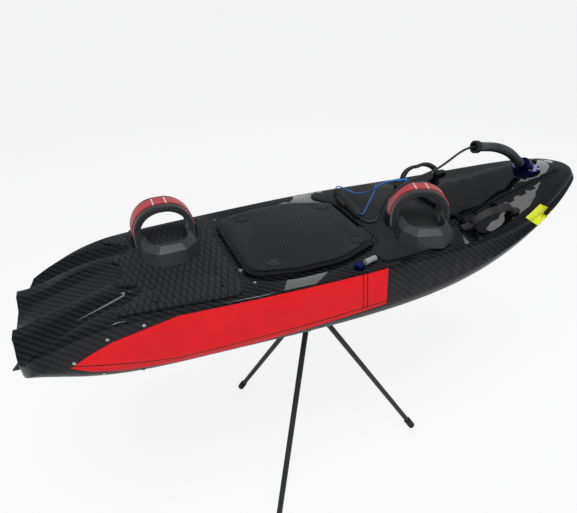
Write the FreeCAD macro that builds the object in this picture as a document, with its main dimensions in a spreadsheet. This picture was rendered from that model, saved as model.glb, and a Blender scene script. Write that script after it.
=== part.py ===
"""Petrol jet surfboard resting on a folding tripod display stand.

Millimetres. The board is modelled in its own frame (x from the stern, z from the flat of the keel) and
each piece is then placed in the part's frame, whose origin is on the floor under the stand's hub, with
+X towards the nose, +Y to port and +Z up.
"""
import FreeCAD, Part
import math
import os
from FreeCAD import Placement, Rotation, Vector

doc = FreeCAD.newDocument("jet_surfboard")
sheet = doc.addObject("Spreadsheet::Sheet", "Sizes")

# Driving dimensions: name, millimetres or degrees, what it is
SIZES = [
    ("HubFromStern", 835, "stand hub's axis, from the board's zero at the stern"),
    ("KeelHeight", 795, "flat of the keel above the floor"),
    ("DeckHeight", 168, "flat deck above the keel"),
    ("FlatDeckEnd", 1270, "where the flat deck meets the rising nose"),
    ("SternCorner", 84, "round corners of the stern, seen from above"),
    ("PanelRise", 5, "nose panel above the nose deck"),
    ("PanelBack", 1262, "nose panel's rear edge"),
    ("PanelFront", 1740, "nose panel's front edge"),
    ("PanelBackHalf", 118, "nose panel's half width at its rear edge"),
    ("PanelFrontHalf", 52, "nose panel's half width at its front edge"),
    ("ChannelHalf", 44, "tail channel's half width at the stern"),
    ("ChannelDrop", 76, "tail channel's floor at the stern, below the flat deck"),
    ("ChannelSlope", 26, "width of the channel's sloping side"),
    ("ChannelDepth", 22, "height of the channel's sloping side"),
    ("ChannelEnd", 278, "where the tail channel runs out on the deck"),
    ("FluteSternY", 150, "tail flute's axis at the stern"),
    ("FluteSternDrop", 50, "that axis below the flat deck"),
    ("FluteSternRadius", 46, "flute's radius at the stern"),
    ("FluteMouthX", 318, "flute's mouth"),
    ("FluteMouthY", 116, "flute's axis at its mouth"),
    ("FluteMouthRise", 22, "that axis above the flat deck"),
    ("FluteMouthRadius", 27, "flute's radius at its mouth"),
    ("PadThick", 5, "foam deck pads"),
    ("PadGap", 8, "gap between a deck pad and the hatch"),
    ("RearPadBack", 262, "rear pad's rear edge beside the channel"),
    ("RearPadSkew", 14, "how far the rear pad's outer corners reach further back"),
    ("PadToHatch", 22, "bare deck between the rear pad and the hatch"),
    ("RearPadHalf", 226, "rear pad's half width at its front edge"),
    ("RearPadBackHalf", 190, "rear pad's half width at its rear edge"),
    ("InsertX", 440, "middle of the four threaded inserts in the rear deck"),
    ("InsertY", -145, "middle of the four threaded inserts in the rear deck"),
    ("InsertLong", 160, "insert spacing along the board"),
    ("InsertWide", 60, "insert spacing across the board"),
    ("InsertRadius", 3.3, "threaded insert's bore"),
    ("InsertDepth", 14, "threaded insert's bore"),
    ("PadHole", 5, "radius of the foam's hole over an insert"),
    ("FrontPadWrap", 40, "how far the front pad reaches back beside the hatch"),
    ("FrontPadFront", 1226, "front pad's front edge on the centre line"),
    ("FrontPadHalf", 236, "front pad's half width"),
    ("LidBack", 588, "hatch lid's straight rear edge"),
    ("LidFront", 978, "hatch lid's front edge"),
    ("LidHalf", 196, "hatch lid's half width at its middle"),
    ("LidBackIn", 28, "lid's rear corners, in from its middle's half width"),
    ("LidFrontIn", 56, "lid's front corners, in from its middle's half width"),
    ("LidSwell", 130, "radius of the lid's bulging sides"),
    ("LidCorner", 52, "radius of the lid's rear corners"),
    ("LidThick", 8, "hatch lid's plate"),
    ("LidLip", 12, "depth of the lip that enters the well"),
    ("LipWall", 5, "thickness of that lip"),
    ("SeatGap", 0.3, "gap where pieces are laid on one another"),
    ("MoveGap", 5, "clearance round what moves"),
    ("SeatWidth", 24, "deck under the lid's edge"),
    ("LidPadInset", 16, "lid's bare rim round its pad"),
    ("LidPadThick", 4, "foam on the lid"),
    ("LatchRadius", 20, "ring latch's dish"),
    ("LatchFromBack", 78, "rear latches, from the lid's rear edge"),
    ("LatchBackIn", 60, "rear latches, in from the lid's half width"),
    ("LatchFromFront", 56, "front latches, from the lid's front edge"),
    ("LatchFrontIn", 78, "front latches, in from the lid's half width"),
    ("RingRadius", 12, "latch ring's centre line"),
    ("RingThick", 2.2, "latch ring's wire radius"),
    ("BayFloor", 16, "engine bay's floor above the keel"),
    ("SlotLength", 190, "finger slot behind the lid"),
    ("SlotWidth", 9, "width of that slot"),
    ("SlotDepth", 9, "depth of that slot"),
    ("EngineLength", 250, "engine block"),
    ("EngineWidth", 150, "engine block"),
    ("EngineTall", 108, "engine block"),
    ("EngineFromBack", 64, "engine block's rear face, from the lid's rear edge"),
    ("TankLength", 210, "fuel tank"),
    ("TankWidth", 52, "fuel tank"),
    ("TankTall", 96, "fuel tank"),
    ("PumpAxisZ", 54, "pump's axis above the keel"),
    ("PumpBore", 34, "pump bore's radius"),
    ("PumpBack", 112, "pump bore's rear mouth"),
    ("PumpFront", 268, "pump bore's front mouth"),
    ("RecessHalf", 54, "half width of the recess round the nozzle"),
    ("RecessTop", 84, "top of that recess"),
    ("IntakeBack", 330, "intake's rear edge in the keel"),
    ("IntakeFront", 520, "intake's front edge in the keel"),
    ("IntakeHalf", 40, "intake's half width"),
    ("GrilleThick", 4, "intake grille's plate"),
    ("GrilleBorder", 12, "intake grille's frame"),
    ("GrilleBar", 5, "width of a grille bar"),
    ("ShaftRadius", 7, "drive shaft"),
    ("ImpellerBack", 168, "impeller hub's rear end"),
    ("ImpellerLength", 52, "impeller hub"),
    ("ImpellerHub", 14, "impeller hub's radius"),
    ("BladeTwist", 55, "turn of a blade along the hub"),
    ("TailRadius", 5, "shaft's tail in the stator's bearing"),
    ("TailLength", 30, "shaft's tail behind the impeller hub"),
    ("BearingGap", 0.08, "running gap round the shaft's tail"),
    ("StatorLength", 34, "stator ring"),
    ("StatorHub", 11, "stator hub's radius"),
    ("NozzleLength", 62, "nozzle behind its flange"),
    ("NozzleExit", 19, "nozzle outlet's radius"),
    ("FinY", 62, "tail fins, from the centre line"),
    ("FinThick", 6, "tail fins"),
    ("RearBindingX", 434, "rear binding's centre"),
    ("RearBindingY", 68, "rear binding's centre"),
    ("RearBindingTurn", 0, "rear binding's turn about the upright axis"),
    ("FrontBindingX", 1120, "front binding's centre"),
    ("FrontBindingY", -140, "front binding's centre"),
    ("FrontBindingTurn", -22, "front binding's turn about the upright axis"),
    ("HeelHalf", 78, "heel block's half width"),
    ("HeelBack", 98, "heel block, from the binding's centre to its heel end"),
    ("HeelTall", 48, "heel block"),
    ("HeelLean", 16, "how far the heel block's wall leans in"),
    ("HeelChamfer", 40, "heel block's cut corners"),
    ("FootHalf", 52, "half width of the foot's place"),
    ("FootHeel", 66, "foot's place, from the binding's centre to its heel"),
    ("FootFloor", 8, "foam under the foot"),
    ("LoopHalf", 83, "foot loop's outer half span"),
    ("LoopTall", 114, "foot loop's outer height"),
    ("LoopThick", 17, "foot loop's padding"),
    ("LoopWidth", 84, "foot loop along the foot"),
    ("LoopFrom", 18, "foot loop's near edge, from the binding's centre"),
    ("StrapThick", 3, "strap over the foot loop"),
    ("StrapWidth", 40, "strap over the foot loop"),
    ("BuckleLength", 36, "ratchet buckle"),
    ("BuckleThick", 9, "ratchet buckle"),
    ("FlangeX", 1640, "nose flange"),
    ("FlangeRadius", 44, "nose flange"),
    ("FlangeThick", 9, "nose flange"),
    ("CollarRadius", 24, "tilted collar round the pole's foot"),
    ("CollarTall", 33, "tilted collar round the pole's foot"),
    ("CollarTilt", 52, "collar's lean back from the upright, in degrees"),
    ("CollarSink", 6, "collar's foot below the flange's face"),
    ("PoleRadius", 18, "steering pole"),
    ("TipRadius", 19.5, "ferrule on the pole's end"),
    ("TipLength", 14, "ferrule on the pole's end"),
    ("TipBore", 13, "open end of the pole"),
    ("TipDepth", 10, "open end of the pole"),
    ("TetherRadius", 3.5, "tether cable"),
    ("RopeRadius", 3, "blue rope"),
    ("BridleRadius", 1.8, "the rope's two tails"),
    ("TieRadius", 5, "rope's tie beside the cable"),
    ("KnotRadius", 6, "knot where the rope divides"),
    ("GripRadius", 14, "throttle grip"),
    ("GripLength", 176, "throttle grip"),
    ("GripKnob", 8, "tapered knobs on the grip's ends"),
    ("GripX", 1008, "throttle grip's middle"),
    ("GripY", 96, "throttle grip's middle"),
    ("GripTurn", 83, "throttle grip's direction from the nose line"),
    ("HandleX", 1340, "carry handles' middle"),
    ("HandleY", 174, "carry handles, from the centre line"),
    ("HandleHalf", 74, "carry handle's outer half span"),
    ("HandleTall", 47, "carry handle"),
    ("HandleThick", 11, "carry handle"),
    ("HandleWidth", 24, "carry handle"),
    ("HandleLean", 28, "carry handle's lean towards the rail"),
    ("HandleRise", 17, "carry handles' feet above the flat deck"),
    ("HandlePitch", 5.5, "slope of the deck under the carry handles, in degrees"),
    ("HandleTab", 42, "screwed tab at each end of a handle"),
    ("FillerX", 868, "fuel filler"),
    ("FillerOut", 32, "fuel filler's axis, out from the lid's half width"),
    ("FillerRadius", 15, "fuel filler"),
    ("FillerTall", 11, "fuel filler"),
    ("PlugRadius", 8, "grey quick plug"),
    ("PlugLength", 36, "grey quick plug"),
    ("CradleLength", 300, "stand's top plate"),
    ("CradleWidth", 150, "stand's top plate"),
    ("CradleThick", 5, "stand's top plate"),
    ("CradlePad", 12, "rubber strips under the keel"),
    ("ColumnRadius", 16, "stand's column"),
    ("HubRadius", 30, "stand's hub, out to its lugs' roots"),
    ("HubTall", 44, "stand's hub"),
    ("HubDrop", 155, "legs' pivots below the keel"),
    ("PivotOut", 42, "legs' pivots from the hub's axis"),
    ("LegRadius", 9, "stand's legs"),
    ("FootReach", 438, "feet's tips from the hub's axis"),
    ("FootRadius", 13, "rubber feet"),
    ("FootLength", 46, "rubber feet"),
    ("FirstLeg", 110, "first leg's direction from the nose line"),
    ("LugThick", 5, "hub's lugs"),
    ("LugRadius", 13, "hub's lugs, round their pins"),
    ("LugGap", 1, "gap between a leg and its lugs"),
    ("PinRadius", 4, "legs' pivot pins"),
    ("PinGap", 0.1, "running gap round a pivot pin"),
    ("PinProud", 3, "pivot pin's end beyond a lug"),
    ("SocketDepth", 20, "leg's end inside its rubber foot"),
    ("StripWidth", 30, "rubber strips"),
]

# Hull sections: name, from the stern, half beam, deck's edge from the flat deck, keel, half width of the
# flat bottom, height of the chine, radius of the rail, lean of the side, crown of the deck
SECTIONS = [
    ("Stern", 36, 186, -54, 36, 112, 40, 20, 6, 4),
    ("Tail", 128, 200, -34, 18, 134, 50, 18, 8, 3),
    ("RearPad", 268, 226, 1.5, -1.2, 160, 62, 12, 12, 1),
    ("Hatch", 620, 260, 1.5, -1.2, 180, 62, 9, 12, 1),
    ("Middle", 960, 272, 1.5, -1.2, 185, 66, 9, 12, 1),
    ("Shoulder", 1240, 262, 2.5, 17, 150, 76, 16, 14, 4),
    ("Nose", 1460, 226, 22, 62, 90, 84, 30, 16, 9),
    ("Spoon", 1640, 158, 48, 120, 40, 62, 26, 14, 9),
    ("Bow", 1760, 92, 60, 168, 18, 38, 20, 8, 5),
    ("Tip", 1806, 34, 58, 192, 8, 20, 12, 3, 2),
]
COLUMNS = ["X", "Beam", "Deck", "Keel", "Flat", "Chine", "Rail", "Lean", "Crown"]

row = 1
for name, value, note in SIZES:
    sheet.set("A%d" % row, name)
    sheet.set("B%d" % row, str(value))
    sheet.set("C%d" % row, note)
    sheet.setAlias("B%d" % row, name)
    row += 1
for section in SECTIONS:
    for column, value in zip(COLUMNS, section[1:]):
        sheet.set("A%d" % row, section[0] + column)
        sheet.set("B%d" % row, str(value))
        sheet.setAlias("B%d" % row, section[0] + column)
        row += 1
doc.recompute()


def size(name):
    """A driving dimension from the sheet."""
    return float(sheet.get(name))


def on_board(x=0, y=0, z=0, turn=None):
    """Placement of a piece whose own zero is at this place of the board."""
    base = Vector(x - size("HubFromStern"), y, z + size("KeelHeight"))
    return Placement(base, turn or Rotation())


def feature(name, shape, place):
    """A sub-part whose shape comes from Part's own functions."""
    made = doc.addObject("Part::Feature", name)
    made.Label = name
    made.Shape = shape
    made.Placement = place.multiply(shape.Placement)
    return made


def rounded(corners):
    """Closed outline of lines and tangent arcs from corners (x, y, radius), in the plane z = 0."""
    edges = []
    starts = []
    ends = []
    count = len(corners)
    for index in range(count):
        x, y, radius = corners[index]
        here = Vector(x, y, 0)
        before = Vector(corners[index - 1][0], corners[index - 1][1], 0)
        after = Vector(corners[(index + 1) % count][0], corners[(index + 1) % count][1], 0)
        if radius <= 0:
            starts.append(here)
            ends.append(here)
            edges.append(None)
            continue
        back = (before - here).normalize()
        on = (after - here).normalize()
        half = back.getAngle(on) / 2
        reach = radius / math.tan(half)
        first = here + back * reach
        last = here + on * reach
        centre = here + (back + on).normalize() * (radius / math.sin(half))
        middle = centre + (here - centre).normalize() * radius
        starts.append(first)
        ends.append(last)
        edges.append(Part.Arc(first, middle, last))
    curves = []
    for index in range(count):
        if edges[index] is not None:
            curves.append(edges[index])
        following = (index + 1) % count
        if ends[index].distanceToPoint(starts[following]) > 0.001:
            curves.append(Part.LineSegment(ends[index], starts[following]))
    return curves


def wire_of(curves, place=None):
    """One wire from curves, moved to a place."""
    wire = Part.Wire([curve.toShape() for curve in curves])
    if place is not None:
        wire = wire.transformGeometry(place.toMatrix())
    return wire


def slab(curves, low, high):
    """Solid between two heights inside an outline drawn at z = 0."""
    face = Part.Face(wire_of(curves))
    face.translate(Vector(0, 0, low))
    return face.extrude(Vector(0, 0, high - low))


def plane_of(body, role):
    """One of a body's own origin planes."""
    return [item for item in body.Origin.OriginFeatures if item.Role == role][0]


def sketch_on(body, name, curves, role="XY_Plane", offset=None):
    """Sketch of the given curves on an origin plane of the body."""
    sketch = body.newObject("Sketcher::SketchObject", name)
    sketch.AttachmentSupport = [(plane_of(body, role), "")]
    sketch.MapMode = "FlatFace"
    if offset is not None:
        sketch.setExpression("AttachmentOffset.Base.z", offset)
    sketch.addGeometry(curves, False)
    return sketch


def circle(x, y, radius):
    return Part.Circle(Vector(x, y, 0), Vector(0, 0, 1), radius)


def place_body(body, x="0", y="0", z="0"):
    """Bind a body's place on the board to the sheet; x, y and z are expressions."""
    body.setExpression(".Placement.Base.x", "%s - Sizes.HubFromStern" % x)
    body.setExpression(".Placement.Base.y", y)
    body.setExpression(".Placement.Base.z", "%s + Sizes.KeelHeight" % z)


def padded_body(name, curves, thickness, z):
    """Body that is one pad of an outline; thickness and z are expressions."""
    body = doc.addObject("PartDesign::Body", name)
    body.Label = name
    outline = sketch_on(body, name + "_outline", curves)
    pad = body.newObject("PartDesign::Pad", name + "_pad")
    pad.Profile = outline
    pad.setExpression("Length", thickness)
    place_body(body, z=z)
    return body, pad


# Hull: a loft of ten sections, planed flat under the pads, then carved
def section_wire(name):
    x, beam, deck, keel, flat, chine, rail, lean, crown = [size(name + c) for c in COLUMNS]
    side = beam - lean
    deck = deck + size("DeckHeight")
    shoulder = deck - rail
    diagonal = math.sqrt(0.5)

    def point(y, z):
        return Vector(x, y, z)

    def half(sign):
        low = Part.Arc(point(sign * flat, keel),
                       point(sign * (flat + (beam - flat) * diagonal), keel + chine * (1 - diagonal)),
                       point(sign * beam, keel + chine))
        wall = Part.LineSegment(point(sign * beam, keel + chine), point(sign * side, shoulder))
        edge = Part.Arc(point(sign * side, shoulder),
                        point(sign * (side - rail * (1 - diagonal)), shoulder + rail * diagonal),
                        point(sign * (side - rail), deck))
        return low, wall, edge

    low, wall, edge = half(1)
    far_low, far_wall, far_edge = half(-1)
    bottom = Part.LineSegment(point(-flat, keel), point(flat, keel))
    top = Part.Arc(point(side - rail, deck), point(0, deck + crown), point(rail - side, deck))
    curves = [bottom, low, wall, edge, top, far_edge, far_wall, far_low]
    return Part.Wire([curve.toShape() for curve in curves])


lofted = Part.makeLoft([section_wire(row[0]) for row in SECTIONS], True, False, False, 3)
FAR = 400
flat_end = size("FlatDeckEnd")
above = Part.makeBox(flat_end + FAR, 2 * FAR, FAR, Vector(-FAR, -FAR, size("DeckHeight")))
below = Part.makeBox(4 * FAR, 2 * FAR, FAR, Vector(0, -FAR, -FAR))
hull = lofted.cut([above, below])

# Plan of the stern: the outer lobes end in round corners
plan = slab(rounded([
    (size("SternX"), -size("SternBeam"), size("SternCorner")),
    (3 * FAR, -FAR, 0),
    (6 * FAR, -FAR, 0),
    (6 * FAR, FAR, 0),
    (3 * FAR, FAR, 0),
    (size("SternX"), size("SternBeam"), size("SternCorner")),
]), -FAR, 2 * FAR)
hull = hull.common(plan)

# Raised panel of the nose deck: the same deck, lifted and trimmed to the panel's outline
panel_outline = rounded([
    (size("PanelBack"), -size("PanelBackHalf"), 24),
    (size("PanelFront"), -size("PanelFrontHalf"), 22),
    (size("PanelFront"), size("PanelFrontHalf"), 22),
    (size("PanelBack"), size("PanelBackHalf"), 24),
])
lifted = lofted.copy()
lifted.translate(Vector(0, 0, size("PanelRise")))
panel_prism = slab(panel_outline, size("DeckHeight") - 40, size("DeckHeight") + FAR)
hull = hull.fuse(lifted.common(panel_prism)).removeSplitter()

# Tail channel: a trough that runs out on the deck
stern = size("SternX")


def trough(x, half, floor, slope, depth):
    top = size("DeckHeight") + FAR / 4
    points = [(-half, floor), (half, floor), (half + slope, floor + depth), (half + slope, top),
              (-half - slope, top), (-half - slope, floor + depth)]
    corners = [Vector(x, y, z) for y, z in points]
    return Part.makePolygon(corners + corners[:1])


OVERRUN = 20
rise = size("ChannelDrop") / (size("ChannelEnd") - stern)
channel_floor = size("DeckHeight") - size("ChannelDrop")
channel = Part.makeLoft([
    trough(stern - OVERRUN, size("ChannelHalf"), channel_floor - rise * OVERRUN,
           size("ChannelSlope"), size("ChannelDepth")),
    trough(size("ChannelEnd") + OVERRUN, size("ChannelHalf") * 0.8, size("DeckHeight") + rise * OVERRUN,
           size("ChannelSlope") * 0.8, size("ChannelDepth") * 0.4),
], True, True)
hull = hull.cut(channel)

# Tail flutes: a tapered round cutter on each side, outside the channel's ridges
for side in (1, -1):
    start = Vector(stern, side * size("FluteSternY"), size("DeckHeight") - size("FluteSternDrop"))
    end = Vector(size("FluteMouthX"), side * size("FluteMouthY"), size("DeckHeight") + size("FluteMouthRise"))
    along = end - start
    taper = (size("FluteSternRadius") - size("FluteMouthRadius")) / along.Length
    first = start - along * (OVERRUN / along.Length)
    flute = Part.makeCone(size("FluteSternRadius") + taper * OVERRUN, size("FluteMouthRadius"),
                          along.Length + OVERRUN, first, along)
    hull = hull.cut(flute)


# Hatch: one outline for the lid, its pad and the well
lid_half = size("LidHalf")
lid_back_half = lid_half - size("LidBackIn")
lid_front_half = lid_half - size("LidFrontIn")


def lid_outline(inset):
    back = size("LidBack") + inset
    front = size("LidFront") - inset
    long = size("LidFront") - size("LidBack")
    swell_back = size("LidBack") + long * 0.32
    swell_front = size("LidBack") + long * 0.65
    corner = size("LidCorner") - inset / 2
    front_corner = corner + size("LidCorner") / 3
    return rounded([
        (back, inset - lid_back_half, corner),
        (swell_back, inset - lid_half, size("LidSwell")),
        (swell_front, inset - lid_half, size("LidSwell")),
        (front, inset - lid_front_half, front_corner),
        (front, lid_front_half - inset, front_corner),
        (swell_front, lid_half - inset, size("LidSwell")),
        (swell_back, lid_half - inset, size("LidSwell")),
        (back, lid_back_half - inset, corner),
    ])


deck = size("DeckHeight")
well = slab(lid_outline(size("SeatWidth")), size("BayFloor"), deck + 1)
hull = hull.cut(well)
slot = Part.makeBox(size("SlotWidth"), size("SlotLength"), size("SlotDepth") + 1,
                    Vector(size("LidBack") - size("SlotWidth") - 1, -size("SlotLength") / 2,
                           deck - size("SlotDepth")))
hull = hull.cut(slot)

# Jet drive's passages: recess round the nozzle, pump bore, intake duct, shaft bore
axis_z = size("PumpAxisZ")
recess = Part.makeBox(size("PumpBack") + FAR, 2 * size("RecessHalf"), size("RecessTop") + FAR,
                      Vector(-FAR, -size("RecessHalf"), -FAR))
bore = Part.makeCylinder(size("PumpBore"), size("PumpFront") - size("PumpBack") + 30,
                         Vector(size("PumpBack") - 10, 0, axis_z), Vector(1, 0, 0))
duct_side = Part.makePolygon([
    Vector(size("PumpFront") - 4, 0, axis_z - size("PumpBore") + 2),
    Vector(size("PumpFront") - 4, 0, axis_z + size("PumpBore") - 2),
    Vector(size("IntakeBack") + 30, 0, axis_z + size("PumpBore") - 12),
    Vector(size("IntakeFront"), 0, 4),
    Vector(size("IntakeFront"), 0, -FAR),
    Vector(size("IntakeBack"), 0, -FAR),
    Vector(size("IntakeBack"), 0, 4),
    Vector(size("PumpFront") - 4, 0, axis_z - size("PumpBore") + 2),
])
duct = Part.Face(duct_side).extrude(Vector(0, 2 * size("IntakeHalf") - 12, 0))
duct.translate(Vector(0, 6 - size("IntakeHalf"), 0))
shaft_bore = Part.makeCylinder(size("ShaftRadius") + size("MoveGap"),
                               size("LidBack") + size("SeatWidth") + 10 - size("PumpFront"),
                               Vector(size("PumpFront"), 0, axis_z), Vector(1, 0, 0))
seat = Part.makeBox(size("IntakeFront") - size("IntakeBack") + 2 * size("GrilleBorder"),
                    2 * (size("IntakeHalf") + size("GrilleBorder")), size("GrilleThick") + FAR,
                    Vector(size("IntakeBack") - size("GrilleBorder"),
                           -size("IntakeHalf") - size("GrilleBorder"), -FAR))
inserts = []
for along in (-0.5, 0.5):
    for across in (-0.5, 0.5):
        place = (size("InsertX") + along * size("InsertLong"), size("InsertY") + across * size("InsertWide"))
        inserts.append(place)
insert_bores = [Part.makeCylinder(size("InsertRadius"), size("InsertDepth") + 1,
                                  Vector(x, y, deck - size("InsertDepth"))) for x, y in inserts]
hull = hull.cut([recess, bore, duct, shaft_bore, seat] + insert_bores)
feature("hull", hull, on_board())

# Intake grille: a frame with bars along the flow, set flush in the keel
frame_long = size("IntakeFront") - size("IntakeBack") + 2 * size("GrilleBorder")
frame_half = size("IntakeHalf") + size("GrilleBorder")
fit = size("SeatGap")
plate = Part.makeBox(frame_long - 2 * fit, 2 * (frame_half - fit), size("GrilleThick") - fit,
                     Vector(size("IntakeBack") - size("GrilleBorder") + fit, fit - frame_half, 0))
BARS = 7
pitch = 2 * size("IntakeHalf") / (BARS + 1)
gap_wide = pitch - size("GrilleBar")
for index in range(BARS + 1):
    gap = Part.makeBox(size("IntakeFront") - size("IntakeBack"), gap_wide, 3 * size("GrilleThick"),
                       Vector(size("IntakeBack"),
                              -size("IntakeHalf") + index * pitch + size("GrilleBar") / 2,
                              -size("GrilleThick")))
    plate = plate.cut(gap)
feature("intake_grille", plate, on_board())


# Deck pads
gap = size("PadGap")
pad_back = size("RearPadBack")
pad_corner = pad_back - size("RearPadSkew")
pad_front = size("LidBack") - size("PadToHatch")
mouth_x = size("FluteMouthX")
mouth_y = size("FluteMouthY")
channel_half = size("ChannelHalf") + size("ChannelSlope")
half_outline = [
    (pad_front, size("RearPadHalf"), 34),
    (pad_corner, size("RearPadBackHalf"), 12),
    (pad_back + 4 * gap, mouth_y + 5 * gap, 10),
    (mouth_x + 2 * gap, mouth_y + gap, 14),
    (mouth_x + gap, mouth_y - 4 * gap, 12),
    (pad_back + gap, channel_half - gap / 2, 10),
    (size("ChannelEnd") + 3 * gap, channel_half / 2, 22),
]
mirrored = [(x, -y, radius) for x, y, radius in reversed(half_outline)]
pad_holes = [circle(x, y, size("PadHole")) for x, y in inserts]
padded_body("rear_pad", rounded(half_outline + mirrored) + pad_holes, "Sizes.PadThick", "Sizes.DeckHeight")

wrap_back = size("LidFront") - size("FrontPadWrap")
front_pad_outline = rounded([
    (wrap_back, -size("FrontPadHalf"), 20),
    (size("FrontPadFront") - 52, -size("FrontPadHalf") + 10, 22),
    (size("FrontPadFront"), -70, 150),
    (size("FrontPadFront"), 70, 150),
    (size("FrontPadFront") - 52, size("FrontPadHalf") - 10, 22),
    (wrap_back, size("FrontPadHalf"), 20),
    (wrap_back, lid_half + gap - 6, 10),
    (size("LidFront") + gap, lid_front_half - 6, 74),
    (size("LidFront") + gap, -lid_front_half + 6, 74),
    (wrap_back, -lid_half - gap + 6, 10),
])
padded_body("front_pad", front_pad_outline, "Sizes.PadThick", "Sizes.DeckHeight")

# Hatch lid: a plate with a rounded rim and a lip that enters the well
lid, lid_pad = padded_body("hatch_lid", lid_outline(0), "Sizes.LidThick",
                           "Sizes.DeckHeight + Sizes.SeatGap")
lip_inset = size("SeatWidth") + size("MoveGap")
lip_outer = lid_outline(lip_inset)
lip_inner = lid_outline(lip_inset + size("LipWall"))
lip_sketch = sketch_on(lid, "hatch_lid_lip_outline", lip_outer + lip_inner)
lip = lid.newObject("PartDesign::Pad", "hatch_lid_lip")
lip.Profile = lip_sketch
lip.Reversed = True
lip.setExpression("Length", "Sizes.LidLip")

# Foam on the lid, with a round window over each latch
LATCHES = []
for latch_x, latch_in in ((size("LidBack") + size("LatchFromBack"), size("LatchBackIn")),
                          (size("LidFront") - size("LatchFromFront"), size("LatchFrontIn"))):
    for side in (1, -1):
        LATCHES.append((latch_x, side * (lid_half - latch_in)))
windows = [circle(x, y, size("LatchRadius") + 1.5) for x, y in LATCHES]
padded_body("hatch_pad", lid_outline(size("LidPadInset")) + windows,
            "Sizes.LidPadThick", "Sizes.DeckHeight + Sizes.SeatGap + Sizes.LidThick")


def latch(radius, ring, wire, tall):
    """Dish with a raised rim, a centre boss and a flat ring folded down on it."""
    dish = Part.makeCylinder(radius, tall)
    dish = dish.cut(Part.makeCylinder(radius - wire, tall, Vector(0, 0, wire)))
    boss = Part.makeCylinder(ring * 0.5, tall - wire / 2)
    hoop = Part.makeCylinder(ring + wire, 1.5 * wire, Vector(0, 0, wire))
    hoop = hoop.cut(Part.makeCylinder(ring - wire, 1.5 * wire, Vector(0, 0, wire)))
    bridge = Part.makeBox(2 * ring, 2 * wire, tall - wire / 2, Vector(-ring, -wire, 0))
    return dish.fuse([boss, hoop, bridge]).removeSplitter()


one_latch = latch(size("LatchRadius"), size("RingRadius"), size("RingThick"), size("LidPadThick") + 1.5)
latches = []
for x, y in LATCHES:
    copy = one_latch.copy()
    copy.translate(Vector(x, y, 0))
    latches.append(copy)
feature("hatch_latches", Part.makeCompound(latches),
        on_board(z=deck + size("SeatGap") + size("LidThick")))

# Engine bay's contents: engine block and fuel tank
engine_back = size("LidBack") + size("EngineFromBack")
engine = doc.addObject("Part::Box", "engine_box")
engine.setExpression("Length", "Sizes.EngineLength")
engine.setExpression("Width", "Sizes.EngineWidth")
engine.setExpression("Height", "Sizes.EngineTall")
engine_edges = doc.addObject("Part::Fillet", "engine_block")
engine_edges.Base = engine
engine_edges.Edges = [(number, 12.0, 12.0) for number in (1, 3, 5, 7)]
engine_edges.Label = "engine_block"
engine_edges.Placement = on_board(engine_back, -size("EngineWidth") / 2 - 18, size("BayFloor"))

tank = doc.addObject("Part::Box", "tank_box")
tank.setExpression("Length", "Sizes.TankLength")
tank.setExpression("Width", "Sizes.TankWidth")
tank.setExpression("Height", "Sizes.TankTall")
tank_edges = doc.addObject("Part::Fillet", "fuel_tank")
tank_edges.Base = tank
tank_edges.Edges = [(number, 10.0, 10.0) for number in (1, 3, 5, 7)]
tank_edges.Label = "fuel_tank"
tank_edges.Placement = on_board(engine_back + 20, size("EngineWidth") / 2 + 6, size("BayFloor"))

# Impeller and drive shaft: one turning piece
hub_length = size("ImpellerLength")
back_x = size("ImpellerBack")
tip = size("PumpBore") - size("MoveGap")
shaft_end = engine_back - size("MoveGap")
turning = Part.makeCylinder(size("ImpellerHub"), hub_length, Vector(back_x, 0, 0), Vector(1, 0, 0))
spinner = Part.makeCone(size("ImpellerHub"), size("ShaftRadius"), 24, Vector(back_x + hub_length, 0, 0),
                        Vector(1, 0, 0))
shaft = Part.makeCylinder(size("ShaftRadius"), shaft_end - back_x, Vector(back_x, 0, 0), Vector(1, 0, 0))
tail_x = back_x - size("TailLength")
tail = Part.makeCylinder(size("TailRadius"), size("TailLength") + 1, Vector(tail_x, 0, 0), Vector(1, 0, 0))
BLADES = 4
SLICES = 4
blades = []
for index in range(BLADES):
    wires = []
    for step in range(SLICES):
        share = step / (SLICES - 1)
        x = back_x + 3 + share * (hub_length - 6)
        angle = math.radians(360 * index / BLADES + share * size("BladeTwist"))
        radial = Vector(0, math.cos(angle), math.sin(angle))
        across = Vector(0, -math.sin(angle), math.cos(angle)) * 1.6
        inner = Vector(x, 0, 0) + radial * (size("ImpellerHub") - 3)
        outer = Vector(x, 0, 0) + radial * tip
        corners = [inner - across, outer - across, outer + across, inner + across]
        wires.append(Part.makePolygon(corners + corners[:1]))
    blades.append(Part.makeLoft(wires, True, True))
feature("impeller_shaft", turning.fuse([spinner, shaft, tail] + blades).removeSplitter(), on_board(z=axis_z))

# Stator: ring, vanes and hub, fixed in the bore behind the impeller
stator_x = size("PumpBack") + 12
wall = size("PumpBore") - fit
ring = Part.makeCylinder(wall, size("StatorLength"), Vector(stator_x, 0, 0), Vector(1, 0, 0))
ring = ring.cut(Part.makeCylinder(wall - 3, size("StatorLength"), Vector(stator_x, 0, 0), Vector(1, 0, 0)))
hub = Part.makeCylinder(size("StatorHub"), size("StatorLength"), Vector(stator_x, 0, 0), Vector(1, 0, 0))
VANES = 5
vanes = []
for index in range(VANES):
    vane = Part.makeBox(size("StatorLength") - 6, 3, wall - 2 - size("StatorHub") / 2,
                        Vector(stator_x + 3, -1.5, size("StatorHub") / 2))
    vane.rotate(Vector(0, 0, 0), Vector(1, 0, 0), 360 * index / VANES + 18)
    vanes.append(vane)
bearing = Part.makeCylinder(size("TailRadius") + size("BearingGap"), size("StatorLength"),
                            Vector(tail_x - size("MoveGap"), 0, 0), Vector(1, 0, 0))
feature("pump_stator", ring.fuse([hub] + vanes).removeSplitter().cut(bearing), on_board(z=axis_z))

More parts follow.
